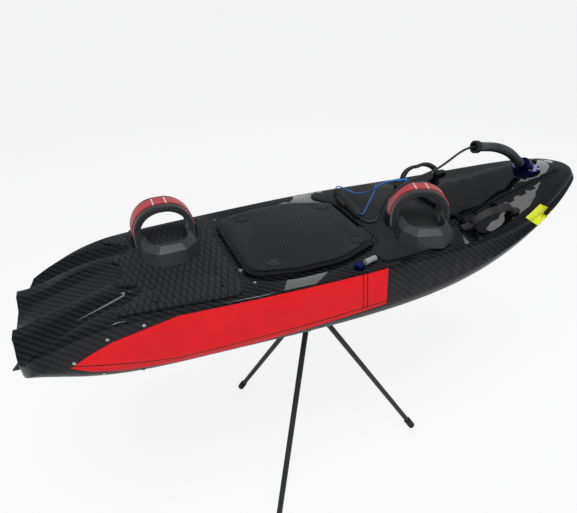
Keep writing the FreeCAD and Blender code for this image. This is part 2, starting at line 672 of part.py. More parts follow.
# Nozzle: a revolved cone with a spigot in the pump bore
exit_r = size("NozzleExit")
mouth_x = size("PumpBack")
nozzle_profile = Part.makePolygon([
    Vector(mouth_x + 10, 0, wall - 4),
    Vector(mouth_x + 10, 0, wall),
    Vector(mouth_x - 3, 0, wall),
    Vector(mouth_x - 3, 0, wall - 4),
    Vector(mouth_x - 12, 0, wall - 4),
    Vector(mouth_x - size("NozzleLength") + 12, 0, exit_r + 5),
    Vector(mouth_x - size("NozzleLength"), 0, exit_r + 5),
    Vector(mouth_x - size("NozzleLength"), 0, exit_r),
    Vector(mouth_x - size("NozzleLength") + 14, 0, exit_r),
    Vector(mouth_x + 10, 0, wall - 4),
])
nozzle = Part.Face(nozzle_profile).revolve(Vector(0, 0, 0), Vector(1, 0, 0), 360)
feature("jet_nozzle", nozzle, on_board(z=axis_z))

# Tail fins: a pair of swept blades under the stern
fins = []
for side in (1, -1):
    blade = Part.Face(Part.Wire([
        Part.LineSegment(Vector(2, 0, -4), Vector(60, 0, 60)).toShape(),
        Part.LineSegment(Vector(60, 0, 60), Vector(150, 0, 60)).toShape(),
        Part.LineSegment(Vector(150, 0, 60), Vector(150, 0, 10)).toShape(),
        Part.Arc(Vector(150, 0, 10), Vector(76, 0, -4), Vector(2, 0, -4)).toShape(),
    ])).extrude(Vector(0, size("FinThick"), 0))
    blade.translate(Vector(0, side * size("FinY") - size("FinThick") / 2, 0))
    blade = blade.cut(hull)
    fins.append(max(blade.Solids, key=lambda solid: solid.Volume if solid.BoundBox.ZMin < 5 else 0))
feature("tail_fins", Part.makeCompound(fins), on_board())


# Bindings: heel block, padded loop, strap and buckles, modelled round the binding's own centre
def heel_block():
    front = size("LoopFrom") - fit

    def outline(inset):
        half = size("HeelHalf") - inset
        back = size("HeelBack") - inset
        cut_off = size("HeelChamfer") - inset * 0.6
        return [(-half, front), (-half, cut_off - back), (cut_off - half, -back), (half - cut_off, -back),
                (half, cut_off - back), (half, front)]

    def ring_at(inset, z):
        corners = [Vector(x, y, z) for x, y in outline(inset)]
        return Part.makePolygon(corners + corners[:1])

    lean = size("HeelLean")
    tall = size("HeelTall")
    block = Part.makeLoft([ring_at(0, 0), ring_at(lean * 0.5, tall * 0.7), ring_at(lean * 1.6, tall)],
                          True, True)
    foot = slab(rounded([
        (-size("FootHalf"), -size("FootHeel"), 40),
        (size("FootHalf"), -size("FootHeel"), 40),
        (size("FootHalf") + 4, front + 10, 0),
        (-size("FootHalf") - 4, front + 10, 0),
    ]), size("FootFloor"), tall + 5)
    return block.cut(foot)


def arch(half, tall, z=0):
    """Curve of an arch in the XZ plane: upright feet, then shoulders and a crown as two arcs."""
    knee = tall * 0.34
    shoulder = Vector(half * 0.72, 0, tall * 0.83)
    edges = []
    left = Vector(-half, 0, z)
    points = [left, Vector(-half * 1.0, 0, knee)]
    edges.append(Part.LineSegment(points[0], points[1]))
    edges.append(Part.Arc(points[1], Vector(-shoulder.x, 0, shoulder.z), Vector(0, 0, tall)))
    edges.append(Part.Arc(Vector(0, 0, tall), shoulder, Vector(half, 0, knee)))
    edges.append(Part.LineSegment(Vector(half, 0, knee), Vector(half, 0, z)))
    return edges


def arch_band(half, tall, thick, width):
    """Solid arch band of even thickness, from y = 0 to its width."""
    outer = [edge.toShape() for edge in arch(half, tall)]
    inner = [edge.toShape() for edge in arch(half - thick, tall - thick)]
    feet = [
        Part.LineSegment(Vector(-half, 0, 0), Vector(thick - half, 0, 0)).toShape(),
        Part.LineSegment(Vector(half - thick, 0, 0), Vector(half, 0, 0)).toShape(),
    ]
    wire = Part.Wire(Part.__sortEdges__(outer + inner + feet))
    return Part.Face(wire).extrude(Vector(0, width, 0))


def foot_loop():
    band = arch_band(size("LoopHalf"), size("LoopTall"), size("LoopThick"), size("LoopWidth"))
    band.translate(Vector(0, size("LoopFrom"), 0))
    return band


def loop_strap():
    thick = size("StrapThick")
    band = arch_band(size("LoopHalf") + thick + fit, size("LoopTall") + thick + fit, thick,
                     size("StrapWidth"))
    band.translate(Vector(0, size("LoopFrom") + (size("LoopWidth") - size("StrapWidth")) / 2, 0))
    keep = Part.makeBox(2 * FAR, FAR, FAR, Vector(-FAR, 0, size("BuckleLength") + fit))
    return band.common(keep)


def buckles():
    thick = size("BuckleThick")
    middle = size("LoopFrom") + size("LoopWidth") / 2
    pair = []
    for side in (1, -1):
        plate = Part.makeBox(thick, size("StrapWidth"), size("BuckleLength"),
                             Vector(0, middle - size("StrapWidth") / 2, 0))
        plate = plate.makeFillet(3, plate.Edges[:4])
        low = size("LoopHalf") + fit
        plate.translate(Vector(low if side > 0 else -low - thick, 0, 0))
        pair.append(plate)
    return Part.makeCompound(pair)


for label in ("Rear", "Front"):
    turn = Rotation(Vector(0, 0, 1), size(label + "BindingTurn"))
    x = size(label + "BindingX")
    y = size(label + "BindingY")
    top = deck + size("PadThick")
    place = on_board(x, y, top, turn)
    lower = label.lower()
    feature("heel_block_" + lower, heel_block(), place)
    feature("foot_loop_" + lower, foot_loop(), place)
    feature("loop_strap_" + lower, loop_strap(), place)
    feature("strap_buckles_" + lower, buckles(), place)

# Nose flange on the nose panel's curve, with a collar that leans back towards the rider
flange_x = size("FlangeX")
upright = Part.makeLine(Vector(flange_x, 0, deck), Vector(flange_x, 0, deck + FAR))
deck_there = upright.common(hull).BoundBox.ZMax
flange_top = deck_there + size("FlangeThick")
flange = Part.makeCylinder(size("FlangeRadius"), size("FlangeThick") + 40, Vector(flange_x, 0, deck_there - 40))
tilt = math.radians(size("CollarTilt"))
lean_back = Vector(-math.sin(tilt), 0, math.cos(tilt))
collar_foot = Vector(flange_x, 0, flange_top - size("CollarSink"))
collar = Part.makeCylinder(size("CollarRadius"), size("CollarTall"), collar_foot, lean_back)
flange = flange.fuse(collar).cut(hull)
flange = max(flange.Solids, key=lambda solid: solid.Volume)
feature("nose_flange", flange, on_board())
print("nose deck under the flange at", round(deck_there, 1))


# Cords and the pole: straight runs joined by tangent arcs
def cord_path(name, points, radius):
    """Wire along a route; every arc is as large as its two runs allow."""
    places = [Vector(*point) for point in points]
    edges = []
    last = places[0]
    radii = []
    for before, here, after in zip(places, places[1:], places[2:]):
        back = before - here
        on = after - here
        turn = math.pi - back.getAngle(on)
        shorter = min(back.Length, on.Length)
        bend = 0.45 * shorter / math.tan(turn / 2)
        radii.append(bend)
        reach = 0.45 * shorter
        back.normalize()
        on.normalize()
        first = here + back * reach
        second = here + on * reach
        centre = here + (back + on).normalize() * (bend / math.cos(turn / 2))
        middle = centre + (here - centre).normalize() * bend
        edges.append(Part.LineSegment(last, first).toShape())
        edges.append(Part.Arc(first, middle, second).toShape())
        last = second
    edges.append(Part.LineSegment(last, places[-1]).toShape())
    path = Part.Wire(edges)
    print(name, "radii in diameters", [round(bend / (2 * radius), 1) for bend in radii],
          "length", round(path.Length))
    return path


def tube(name, points, radius):
    path = cord_path(name, points, radius)
    start = Vector(*points[0])
    along = Vector(*points[1]) - start
    section = Part.Wire(Part.Circle(start, along, radius).toShape())
    swept = path.makePipeShell([section], True, False)
    expected = math.pi * radius ** 2 * path.Length
    print(name, "volume over section times length", round(swept.Volume / expected, 4))
    return swept


collar_top = collar_foot + lean_back * size("CollarTall")
POLE = [
    tuple(collar_top + lean_back * fit),
    tuple(collar_top + lean_back * 34),
    (flange_x - 95, 0, flange_top + 65),
    (flange_x - 143, 0, flange_top + 86),
    (flange_x - 188, 0, flange_top + 97),
    (flange_x - 232, 0, flange_top + 102),
]
pole = tube("steering_pole", POLE, size("PoleRadius"))
feature("steering_pole", pole, on_board())

pole_end = Vector(*POLE[-1])
pole_way = (pole_end - Vector(*POLE[-2])).normalize()
ferrule = Part.makeCylinder(size("TipRadius"), size("TipLength"), pole_end + pole_way * fit, pole_way)
mouth = Part.makeCylinder(size("TipBore"), size("TipDepth") + 1,
                          pole_end + pole_way * (size("TipLength") - size("TipDepth") + fit), pole_way)
feature("pole_tip", ferrule.cut(mouth), on_board())

# The ends of the throttle grip, where the cable and the rope's tails arrive
grip_turn = Rotation(Vector(0, 0, 1), size("GripTurn"))
grip_seat = Vector(size("GripX"), size("GripY"), deck + size("PadThick") + fit)
grip_reach = grip_turn.multVec(Vector(size("GripLength") / 2 + size("GripKnob") + fit, 0, 0))
GRIP_NEAR = grip_seat + Vector(0, 0, size("GripRadius")) - grip_reach
GRIP_FAR = grip_seat + Vector(0, 0, size("GripRadius")) + grip_reach

# The cable starts in the pole's open end, crosses the front loop and lies on the deck to the grip
TETHER = [
    tuple(pole_end + pole_way * (size("TipLength") - size("TipDepth") + 2 * fit)),
    tuple(pole_end + pole_way * (size("TipLength") + 12)),
    (1346, -8, 342),
    (1306, -20, 333),
    (1264, -34, 322),
    (1222, -46, 313),
    (1180, -54, 308),
    (1138, -58, 303),
    (1104, -56, 292),
    (1076, -50, 270),
    (1057, -42, 243),
    (1048, -38, 214),
    (1041, -38, 194),
    (1028, -40, 181),
    (1013, -38, 179),
    (1000, -28, 181),
    (994.5, -14, 183),
    tuple(GRIP_NEAR - Vector(0, 0, 3)),
]
feature("tether_cable", tube("tether_cable", TETHER, size("TetherRadius")), on_board())

# Blue rope tied to the cable on the loop, and its two thin tails to the ends of the grip
TIE = Vector(1118, -45, 298)
KNOT = Vector(1058, 18, 260)


def knot(name, middle, radius):
    """Round knot with eight-sided section."""
    low = radius * 0.42
    high = radius * 0.9
    profile = Part.makePolygon([Vector(*point) for point in (
        (0, 0, -high), (low, 0, -high), (high, 0, -low), (high, 0, low), (low, 0, high), (0, 0, high),
        (0, 0, -high))])
    feature(name, Part.Face(profile).revolve(Vector(0, 0, 0), Vector(0, 0, 1), 360), on_board(*middle))


knot("rope_tie", TIE, size("TieRadius"))
knot("rope_knot", KNOT, size("KnotRadius"))


def leaving(ball, radius, towards):
    """Point just off a ball's surface on the way to a point."""
    way = (Vector(*towards) - ball).normalize()
    return tuple(ball + way * (radius + fit))


ROPE = [
    (1105, -28, 293),
    (1089, -9, 286),
    (1071, 7, 274),
]
ROPE = [leaving(TIE, size("TieRadius"), ROPE[0])] + ROPE + [leaving(KNOT, size("KnotRadius"), ROPE[-1])]
feature("blue_rope", tube("blue_rope", ROPE, size("RopeRadius")), on_board())
TAIL_FAR = [
    (1052, 42, 240),
    (1047, 72, 222),
    (1042, 104, 210),
    (1037, 138, 205),
    (1032, 172, 205),
    (1027, 193, 203),
    (1022.5, 203, 196),
    (1020.7, 200, 190.5),
    tuple(GRIP_FAR + Vector(0, 0, 2)),
]
TAIL_NEAR = [
    (1044, 10, 240),
    (1028, 2, 222),
    (1012, -8, 208),
    (1001, -14, 199),
    (995.5, -9, 194.5),
    tuple(GRIP_NEAR + Vector(0, 0, 6)),
]
for name, route in (("rope_tail_far", TAIL_FAR), ("rope_tail_near", TAIL_NEAR)):
    route = [leaving(KNOT, size("KnotRadius"), route[0])] + route
    feature(name, tube(name, route, size("BridleRadius")), on_board())

# Throttle grip: a bar with flared ends and a trigger, lying across the deck ahead of the hatch
grip_half = size("GripLength") / 2
grip_r = size("GripRadius")
bar = Part.makeCylinder(grip_r, size("GripLength"), Vector(-grip_half, 0, grip_r), Vector(1, 0, 0))
knobs = []
for side in (1, -1):
    knob = Part.makeCone(grip_r, grip_r - 4, size("GripKnob"), Vector(side * grip_half, 0, grip_r), Vector(side, 0, 0))
    knobs.append(knob)
trigger = Part.makeBox(66, 12, 11, Vector(-20, grip_r - 3, grip_r - 5))
trigger = trigger.makeFillet(4, trigger.Edges[8:])
grip = bar.fuse(knobs + [trigger]).removeSplitter()
feature("throttle_grip", grip, on_board(grip_seat.x, grip_seat.y, grip_seat.z, grip_turn))


# Carry handles: a padded loop on two screwed tabs, on each side of the nose
def handle(side):
    band = arch_band(size("HandleHalf"), size("HandleTall"), size("HandleThick"), size("HandleWidth"))
    band.translate(Vector(0, -size("HandleWidth") / 2, 0))
    band.rotate(Vector(0, 0, 0), Vector(1, 0, 0), -side * size("HandleLean"))
    parts = []
    for end in (1, -1):
        tab = slab(rounded([
            (0, -size("HandleWidth") / 2, 0),
            (size("HandleTab"), -size("HandleWidth") / 2, 9),
            (size("HandleTab"), size("HandleWidth") / 2, 9),
            (0, size("HandleWidth") / 2, 0),
        ]), -24, 5)
        if end < 0:
            tab.rotate(Vector(0, 0, 0), Vector(0, 0, 1), 180)
        tab.translate(Vector(end * (size("HandleHalf") - size("HandleThick")), 0, 0))
        parts.append(tab)
    return band.fuse(parts)


for side, label in ((1, "left"), (-1, "right")):
    one = handle(side)
    pitch_up = Rotation(Vector(0, 1, 0), -size("HandlePitch"))
    base = Vector(size("HandleX"), side * size("HandleY"), deck + size("HandleRise"))
    one.Placement = Placement(base, pitch_up)
    one = one.cut(hull)
    one = max(one.Solids, key=lambda solid: solid.Volume)
    feature("carry_handle_" + label, one, on_board())

# Fuel filler with its quick plug, on the starboard side deck
neck = Part.makeCylinder(size("FillerRadius"), size("FillerTall") * 0.45)
neck = neck.fuse(Part.makeCone(size("FillerRadius") - 2, size("FillerRadius") - 4, size("FillerTall")))
filler_y = -lid_half - size("FillerOut")
feature("filler_neck", neck, on_board(size("FillerX"), filler_y, deck))
plug = Part.makeCylinder(size("PlugRadius"), size("PlugLength"), Vector(0, 0, size("PlugRadius")),
                         Vector(1, 0.25, 0))
feature("filler_plug", plug, on_board(size("FillerX") + size("FillerRadius") + 3, filler_y + 3, deck + fit))

# Stand: top plate with two rubber strips, column and hub
keel_z = size("KeelHeight")
hub_z = keel_z - size("HubDrop")
plate_low = keel_z - size("CradlePad") - size("CradleThick")
half_long = size("CradleLength") / 2
half_wide = size("CradleWidth") / 2
plate = slab(rounded([
    (-half_long, -half_wide, 20),
    (half_long, -half_wide, 20),
    (half_long, half_wide, 20),
    (-half_long, half_wide, 20),
]), plate_low, plate_low + size("CradleThick"))
feature("stand_plate", plate, Placement())
hub_top = hub_z + size("HubTall") / 2
feature("stand_column", Part.makeCylinder(size("ColumnRadius"), plate_low - hub_top, Vector(0, 0, hub_top)),
        Placement())
strips = []
for side in (1, -1):
    strip = Part.makeBox(size("CradleLength"), size("StripWidth"), size("CradlePad") - fit,
                         Vector(-half_long, side * (half_wide - size("StripWidth") / 2) - size("StripWidth") / 2,
                                keel_z - size("CradlePad")))
    strips.append(strip)
feature("stand_strips", Part.makeCompound(strips), Placement())

out = size("PivotOut")
leg_r = size("LegRadius")
lug_in = leg_r + size("LugGap")
lug_r = size("LugRadius")
hub = Part.makeCylinder(size("HubRadius") - 2 * size("LugGap") - 6, size("HubTall"),
                        Vector(0, 0, hub_top - size("HubTall")))
lugs = []
for index in range(3):
    for side in (1, -1):
        low_y = lug_in if side > 0 else -lug_in - size("LugThick")
        lug = Part.makeBox(out - leg_r / 2, size("LugThick"), 2 * lug_r,
                           Vector(leg_r / 2, low_y, hub_z - lug_r))
        round_end = Part.makeCylinder(lug_r, size("LugThick"), Vector(out, low_y, hub_z), Vector(0, 1, 0))
        pin_hole = Part.makeCylinder(size("PinRadius") + size("PinGap"), 6 * lug_in,
                                     Vector(out, -3 * lug_in, hub_z), Vector(0, 1, 0))
        lug = lug.fuse(round_end).cut(pin_hole)
        lug.rotate(Vector(0, 0, 0), Vector(0, 0, 1), size("FirstLeg") + 120 * index)
        lugs.append(lug)
feature("stand_hub", hub.fuse(lugs).removeSplitter(), Placement())

# Legs: each pivots on a pin between the hub's lugs and stands on a rubber foot's lower edge
pivot = Vector(out, 0, hub_z)
way = (Vector(size("FootReach"), 0, 0) - pivot).normalize()
foot_end = pivot + way * ((hub_z - size("FootRadius") * way.x) / -way.z)
foot_start = foot_end - way * size("FootLength")
pin_half = lug_in + size("LugThick") + size("PinProud")
eye_half = leg_r + size("LugGap") / 2
for index in range(3):
    leg = Part.makeCylinder(leg_r, (foot_start - pivot).Length + size("SocketDepth"), pivot, way)
    eye = Part.makeCylinder(leg_r + 2, 2 * eye_half, pivot - Vector(0, eye_half, 0), Vector(0, 1, 0))
    pin = Part.makeCylinder(size("PinRadius"), 2 * pin_half, pivot - Vector(0, pin_half, 0), Vector(0, 1, 0))
    leg = leg.fuse([eye, pin]).removeSplitter()
    foot = Part.makeCylinder(size("FootRadius"), size("FootLength"), foot_start, way)
    foot = foot.cut(Part.makeCylinder(leg_r + size("PinGap"), size("SocketDepth") + 1, foot_start - way, way))
    turn = Placement(Vector(0, 0, 0), Rotation(Vector(0, 0, 1), size("FirstLeg") + 120 * index))
    feature("stand_leg_%d" % (index + 1), leg, turn)
    feature("stand_foot_%d" % (index + 1), foot, turn)

doc.recompute()

SUB_PARTS = [item for item in doc.Objects if item.TypeId == "PartDesign::Body"]
SUB_PARTS += [item for item in doc.Objects if item.TypeId in ("Part::Feature", "Part::Fillet")]
for item in doc.Objects:
    if "Invalid" in item.State or "Error" in item.State:
        raise RuntimeError("%s is %s" % (item.Label, item.State))
os.makedirs("parts", exist_ok=True)
for item in SUB_PARTS:
    shape = item.Shape
    if shape.isNull() or not shape.isValid() or not shape.Solids:
        raise RuntimeError("%s has no valid shape" % item.Label)
    shape.exportStep("parts/%s.step" % item.Label)
    box = shape.BoundBox
    print("%-22s solids %d  x %6.0f %6.0f  y %6.0f %6.0f  z %6.0f %6.0f" % (
        item.Label, len(shape.Solids), box.XMin, box.XMax, box.YMin, box.YMax, box.ZMin, box.ZMax))
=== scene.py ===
# %% [markdown]
# # A petrol jet surfboard on its tripod
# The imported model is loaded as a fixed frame. It holds the board, its hatch, its impeller and
# the stand's legs, already in place, so that this lesson is only about how they look.
# Everything is in metres, the board points along +X and the floor is at zero height.

import math

import bpy
from mathutils import Matrix, Vector


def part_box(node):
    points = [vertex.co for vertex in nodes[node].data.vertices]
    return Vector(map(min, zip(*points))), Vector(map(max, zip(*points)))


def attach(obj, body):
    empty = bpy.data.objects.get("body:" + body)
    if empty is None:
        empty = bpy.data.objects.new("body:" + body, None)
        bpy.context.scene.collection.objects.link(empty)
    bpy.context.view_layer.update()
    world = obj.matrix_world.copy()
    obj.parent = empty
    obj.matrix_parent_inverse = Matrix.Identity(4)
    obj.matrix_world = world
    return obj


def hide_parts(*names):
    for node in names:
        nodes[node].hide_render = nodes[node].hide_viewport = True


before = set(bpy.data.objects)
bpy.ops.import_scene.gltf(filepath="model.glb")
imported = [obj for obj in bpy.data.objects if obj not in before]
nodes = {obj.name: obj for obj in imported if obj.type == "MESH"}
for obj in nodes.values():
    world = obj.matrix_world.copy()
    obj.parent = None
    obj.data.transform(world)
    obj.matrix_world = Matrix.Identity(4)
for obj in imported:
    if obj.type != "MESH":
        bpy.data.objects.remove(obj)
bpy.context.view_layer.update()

# %% [markdown]
# A board builder measures from the stern and from the flat of the keel, in millimetres.
# One small function turns those measures into places in the frame, so that every number below
# can be checked against the board with a tape.

# %% Board measures
HUB_FROM_STERN = 835
KEEL_HEIGHT = 795
FLANGE = (1640, 0, 239)


def at(x, y, z):
    """Place in the frame of a point measured on the board."""
    return Vector(((x - HUB_FROM_STERN) / 1000, y / 1000, (z + KEEL_HEIGHT) / 1000))


print("the flange sits at", at(*FLANGE))

# %% [markdown]
# ## The camera
# The picture looks down on the board's right-hand side, from a little behind its middle.
# The lens is worked out from the focal length in picture widths, which keeps the same
# perspective whatever size the picture is rendered at.

# %% Camera
EYE = (303, -1138, 840)
EYE_TURN = math.radians(-22.05)
EYE_DOWN = math.radians(31.06)
EYE_ROLL = math.radians(-1.11)
FOCAL_SHARE = 485.88 / 577
SENSOR = 36

lens = bpy.data.cameras.new("camera")
lens.sensor_width = SENSOR
lens.lens = FOCAL_SHARE * SENSOR
camera = bpy.data.objects.new("camera", lens)
bpy.context.scene.collection.objects.link(camera)
camera.matrix_world = (
    Matrix.Translation(at(*EYE))
    @ Matrix.Rotation(EYE_TURN, 4, "Z")
    @ Matrix.Rotation(math.pi / 2 - EYE_DOWN, 4, "X")
    @ Matrix.Rotation(EYE_ROLL, 4, "Z")
)
bpy.context.scene.camera = camera
print("lens", round(lens.lens, 1), "mm")

# %% [markdown]
# ## The throttle cable and the blue rope
# A braided cable leaves the end of the steering pole, hangs to the front foot loop, comes down
# beside it and ends in the throttle grip. A blue rope is tied to it on the loop and splits into
# two thin tails. Each is a NURBS spline of order three with a few points given one by one, which
# bends as softly as a real cord does. A polyline with rounded corners would look like wire.

# %% Cords
TETHER = [
    (1403.4, 0, 341.5), (1382.2, 0, 343.9), (1346, -8, 342), (1306, -20, 333), (1264, -34, 322),
    (1222, -46, 313), (1180, -54, 308), (1138, -58, 303), (1104, -56, 292), (1076, -50, 270),
    (1057, -42, 243), (1048, -38, 214), (1041, -38, 194), (1028, -40, 181), (1013, -38, 179),
    (1000, -28, 181), (994.5, -14, 183), (996.3, 0.4, 184.3),
]
ROPE = [
    (1115.6, -42, 297.1), (1105, -28, 293), (1089, -9, 286), (1071, 7, 274), (1062, 14.4, 264.3),
]
TAIL_FAR = [
    (1057, 22.3, 256.4), (1052, 42, 240), (1047, 72, 222), (1042, 104, 210), (1037, 138, 205),
    (1032, 172, 205), (1027, 193, 203), (1022.5, 203, 196), (1020.7, 200, 190.5),
    (1019.7, 191.6, 189.3),
]
TAIL_NEAR = [
    (1054.4, 15.9, 255.1), (1044, 10, 240), (1028, 2, 222), (1012, -8, 208), (1001, -14, 199),
    (995.5, -9, 194.5), (996.3, 0.4, 193.3),
]


def spline_along(name, route, radius):
    """A round curve object whose NURBS spline has the route's points as its control points.

    The radius is in millimetres. It is kept in the points, which the object's box is measured
    with.
    """
    curve = bpy.data.curves.new(name, "CURVE")
    curve.dimensions = "3D"
    spline = curve.splines.new("NURBS")
    spline.points.add(len(route) - 1)
    for point, place in zip(spline.points, route):
        point.co = (*at(*place), 1)
        point.radius = radius / 1000
    spline.order_u = 3
    spline.use_endpoint_u = True
    spline.resolution_u = 10
    curve.bevel_depth = 1
    curve.bevel_resolution = 4
    curve.use_fill_caps = True
    piece = bpy.data.objects.new(name, curve)
    bpy.context.scene.collection.objects.link(piece)
    return piece


cable = spline_along("throttle_cable", TETHER, 3.5)
rope = spline_along("rope_main", ROPE, 3)
tail_far = spline_along("rope_far_tail", TAIL_FAR, 1.8)
tail_near = spline_along("rope_near_tail", TAIL_NEAR, 1.8)
for piece, node in ((cable, "tether_cable"), (rope, "blue_rope"),
                    (tail_far, "rope_tail_far"), (tail_near, "rope_tail_near")):
    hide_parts(node)
    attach(piece, "board")
print("four cords")

# %% [markdown]
# ## Finishes
# Blender mixes colours in linear light, while colours are usually written as sRGB hex values.
# One function converts them. A second one adds a node with its settings and its links, which
# keeps each finish short enough to read.

# %% Colour and node helpers
BROAD_NOISE = 9
BROAD_BLEND = (0.35, 0.65)
GRAIN_STRENGTH = 0.6


def colour(code):
    """Linear RGBA of an sRGB hex code."""
    parts = [int(code[i:i + 2], 16) / 255 for i in (1, 3, 5)]
    return [(c / 12.92 if c <= 0.04045 else ((c + 0.055) / 1.055) ** 2.4) for c in parts] + [1]


def add(tree, kind, settings=None, links=None):
    """A new shader node, with its settings or unlinked inputs, and its links."""
    node = tree.nodes.new("ShaderNode" + kind)
    for key, value in (settings or {}).items():
        if isinstance(key, str) and hasattr(node, key):
            setattr(node, key, value)
        else:
            node.inputs[key].default_value = value
    for key, source in (links or {}).items():
        tree.links.new(source, node.inputs[key])
    return node


def finish_of(name, code, roughness, **more):
    """A new material with one Principled shader, set on its own sockets."""
    finish = bpy.data.materials.new(name)
    finish.use_nodes = True
    tree = finish.node_tree
    shader = tree.nodes["Principled BSDF"]
    shader.inputs["Base Color"].default_value = colour(code)
    shader.inputs["Roughness"].default_value = roughness
    for socket, value in more.items():
        shader.inputs[socket.replace("_", " ")].default_value = value
    place = add(tree, "TexCoord").outputs["Object"]
    return finish, tree, shader, place


def mottle(tree, shader, place, size, dark, light, depth, rough=None):
    """Uneven colour and a fine bump: what moulding, casting and handling leave on a surface.

    size is the grain in metres, depth the bump's height in metres and rough the range of
    roughness.
    """
    noise = add(tree, "TexNoise", {"Scale": 1 / size, "Detail": 4}, {"Vector": place})
    broad = add(tree, "TexNoise", {"Scale": BROAD_NOISE, "Detail": 3}, {"Vector": place})
    ramp = add(tree, "MapRange", {"From Min": BROAD_BLEND[0], "From Max": BROAD_BLEND[1]},
               {"Value": broad.outputs["Fac"]})
    tone = add(tree, "Mix", {"data_type": "RGBA", 6: colour(dark), 7: colour(light)},
               {0: ramp.outputs["Result"]})
    tree.links.new(tone.outputs[2], shader.inputs["Base Color"])
    bump = add(tree, "Bump", {"Strength": GRAIN_STRENGTH, "Distance": depth},
               {"Height": noise.outputs["Fac"]})
    tree.links.new(bump.outputs["Normal"], shader.inputs["Normal"])
    if rough:
        gloss = add(tree, "MapRange", {"To Min": rough[0], "To Max": rough[1]},
                    {"Value": noise.outputs["Fac"]})
        tree.links.new(gloss.outputs["Result"], shader.inputs["Roughness"])


print("helpers ready")

# %% [markdown]
# The hull is laid up in 2x2 carbon twill under a thick clear coat. A real tow is 2 mm wide, which
# is finer than a pixel here, so that the weave is drawn at 5.5 mm. Each tow passes over two and
# under two, shifted by one on the next row: that shift is the diagonal line that the eye sees.
# The deck of the nose is sprayed black under the same coat. The paint starts just in front of the
# front pad and is masked by the surface's own slope, so that it stops on the rail all the way
# round, as the masking tape did.

# %% Carbon twill under clear coat
TOW = 0.0055
PAINT_FROM = 1236
PAINT_FADE = 2
PAINT_SLOPE = (0.42, 0.5)
carbon, tree, shader, place = finish_of("clear_coated_carbon_twill", "#141517", 0.38,
                                        Coat_Weight=0.65, Coat_Roughness=0.03,
                                        Specular_IOR_Level=0.0)
axes = add(tree, "SeparateXYZ", links={0: place})
height = add(tree, "Math", {"operation": "ADD"}, {0: axes.outputs["Y"], 1: axes.outputs["Z"]})
rows = []
for source in (axes.outputs["X"], height.outputs[0]):
    scaled = add(tree, "Math", {"operation": "DIVIDE", 1: TOW}, {0: source})
    rows.append(add(tree, "Math", {"operation": "FLOOR"}, {0: scaled.outputs[0]}).outputs[0])
shifted = add(tree, "Math", {"operation": "ADD"}, {0: rows[0], 1: rows[1]})
turned = add(tree, "Math", {"operation": "FLOORED_MODULO", 1: 4}, {0: shifted.outputs[0]})
over = add(tree, "Math", {"operation": "LESS_THAN", 1: 2}, {0: turned.outputs[0]})
weave = add(tree, "Mix", {"data_type": "RGBA", 6: colour("#060607"), 7: colour("#1b1c1f")},
            {0: over.outputs[0]})
slope = add(tree, "SeparateXYZ", links={0: add(tree, "NewGeometry").outputs["Normal"]})
upward = add(tree, "MapRange", {"From Min": PAINT_SLOPE[0], "From Max": PAINT_SLOPE[1]},
             {"Value": slope.outputs["Z"]})
nose = add(tree, "MapRange",
           {"From Min": at(PAINT_FROM, 0, 0).x, "From Max": at(PAINT_FROM + PAINT_FADE, 0, 0).x},
           {"Value": axes.outputs["X"]})
painted = add(tree, "Math", {"operation": "MULTIPLY"}, {0: upward.outputs[0], 1: nose.outputs[0]})
skin = add(tree, "Mix", {"data_type": "RGBA", 7: colour("#08080a")},
           {0: painted.outputs[0], 6: weave.outputs[2]})
tree.links.new(skin.outputs[2], shader.inputs["Base Color"])
print("twill of", TOW * 1000, "mm")

# %% [markdown]
# The side panels are bright red gel coat. A black pinstripe follows their lower edge and turns up
# near the front end as two short lines. The distance to each line is computed from the board's
# own measures, so that the stripe stays sharp at any size of picture.

# %% Red gel coat with its pinstripe
STRIPE_LOW = (386, 47)
STRIPE_RISE_BACK = -0.125
STRIPE_RISE_FRONT = 0.046
STRIPE_HALF = 0.0013
TURN_UPS = (862, 874)
CLOUD_NOISE = 14
red, tree, shader, place = finish_of("red_gel_coat", "#d3101c", 0.3, Coat_Weight=0.5,
                                     Coat_Roughness=0.04, Specular_IOR_Level=0.0)
axes = add(tree, "SeparateXYZ", links={0: place})
low = at(STRIPE_LOW[0], 0, STRIPE_LOW[1])
along = add(tree, "Math", {"operation": "SUBTRACT", 1: low.x}, {0: axes.outputs["X"]})
sides = [add(tree, "Math", {"operation": "MULTIPLY", 1: rise}, {0: along.outputs[0]}).outputs[0]
         for rise in (STRIPE_RISE_BACK, STRIPE_RISE_FRONT)]
lift = add(tree, "Math", {"operation": "MAXIMUM"}, {0: sides[0], 1: sides[1]})
line = add(tree, "Math", {"operation": "ADD", 1: low.z}, {0: lift.outputs[0]})
ink = add(tree, "Math", {"operation": "COMPARE", 2: STRIPE_HALF},
          {0: axes.outputs["Z"], 1: line.outputs[0]}).outputs[0]
above = add(tree, "Math", {"operation": "GREATER_THAN"},
            {0: axes.outputs["Z"], 1: line.outputs[0]})
for x in TURN_UPS:
    upright = add(tree, "Math", {"operation": "COMPARE", 1: at(x, 0, 0).x, 2: STRIPE_HALF},
                  {0: axes.outputs["X"]})
    upright = add(tree, "Math", {"operation": "MULTIPLY"},
                  {0: upright.outputs[0], 1: above.outputs[0]})
    ink = add(tree, "Math", {"operation": "MAXIMUM"}, {0: ink, 1: upright.outputs[0]}).outputs[0]
cloud = add(tree, "TexNoise", {"Scale": CLOUD_NOISE, "Detail": 2}, {"Vector": place})
coat = add(tree, "Mix", {"data_type": "RGBA", 6: colour("#de0a16"), 7: colour("#ef101c")},
           {0: cloud.outputs["Fac"]})
skin = add(tree, "Mix", {"data_type": "RGBA", 7: colour("#0b0b0c")}, {0: ink, 6: coat.outputs[2]})
tree.links.new(skin.outputs[2], shader.inputs["Base Color"])
print("pinstripe", STRIPE_HALF * 2000, "mm wide")
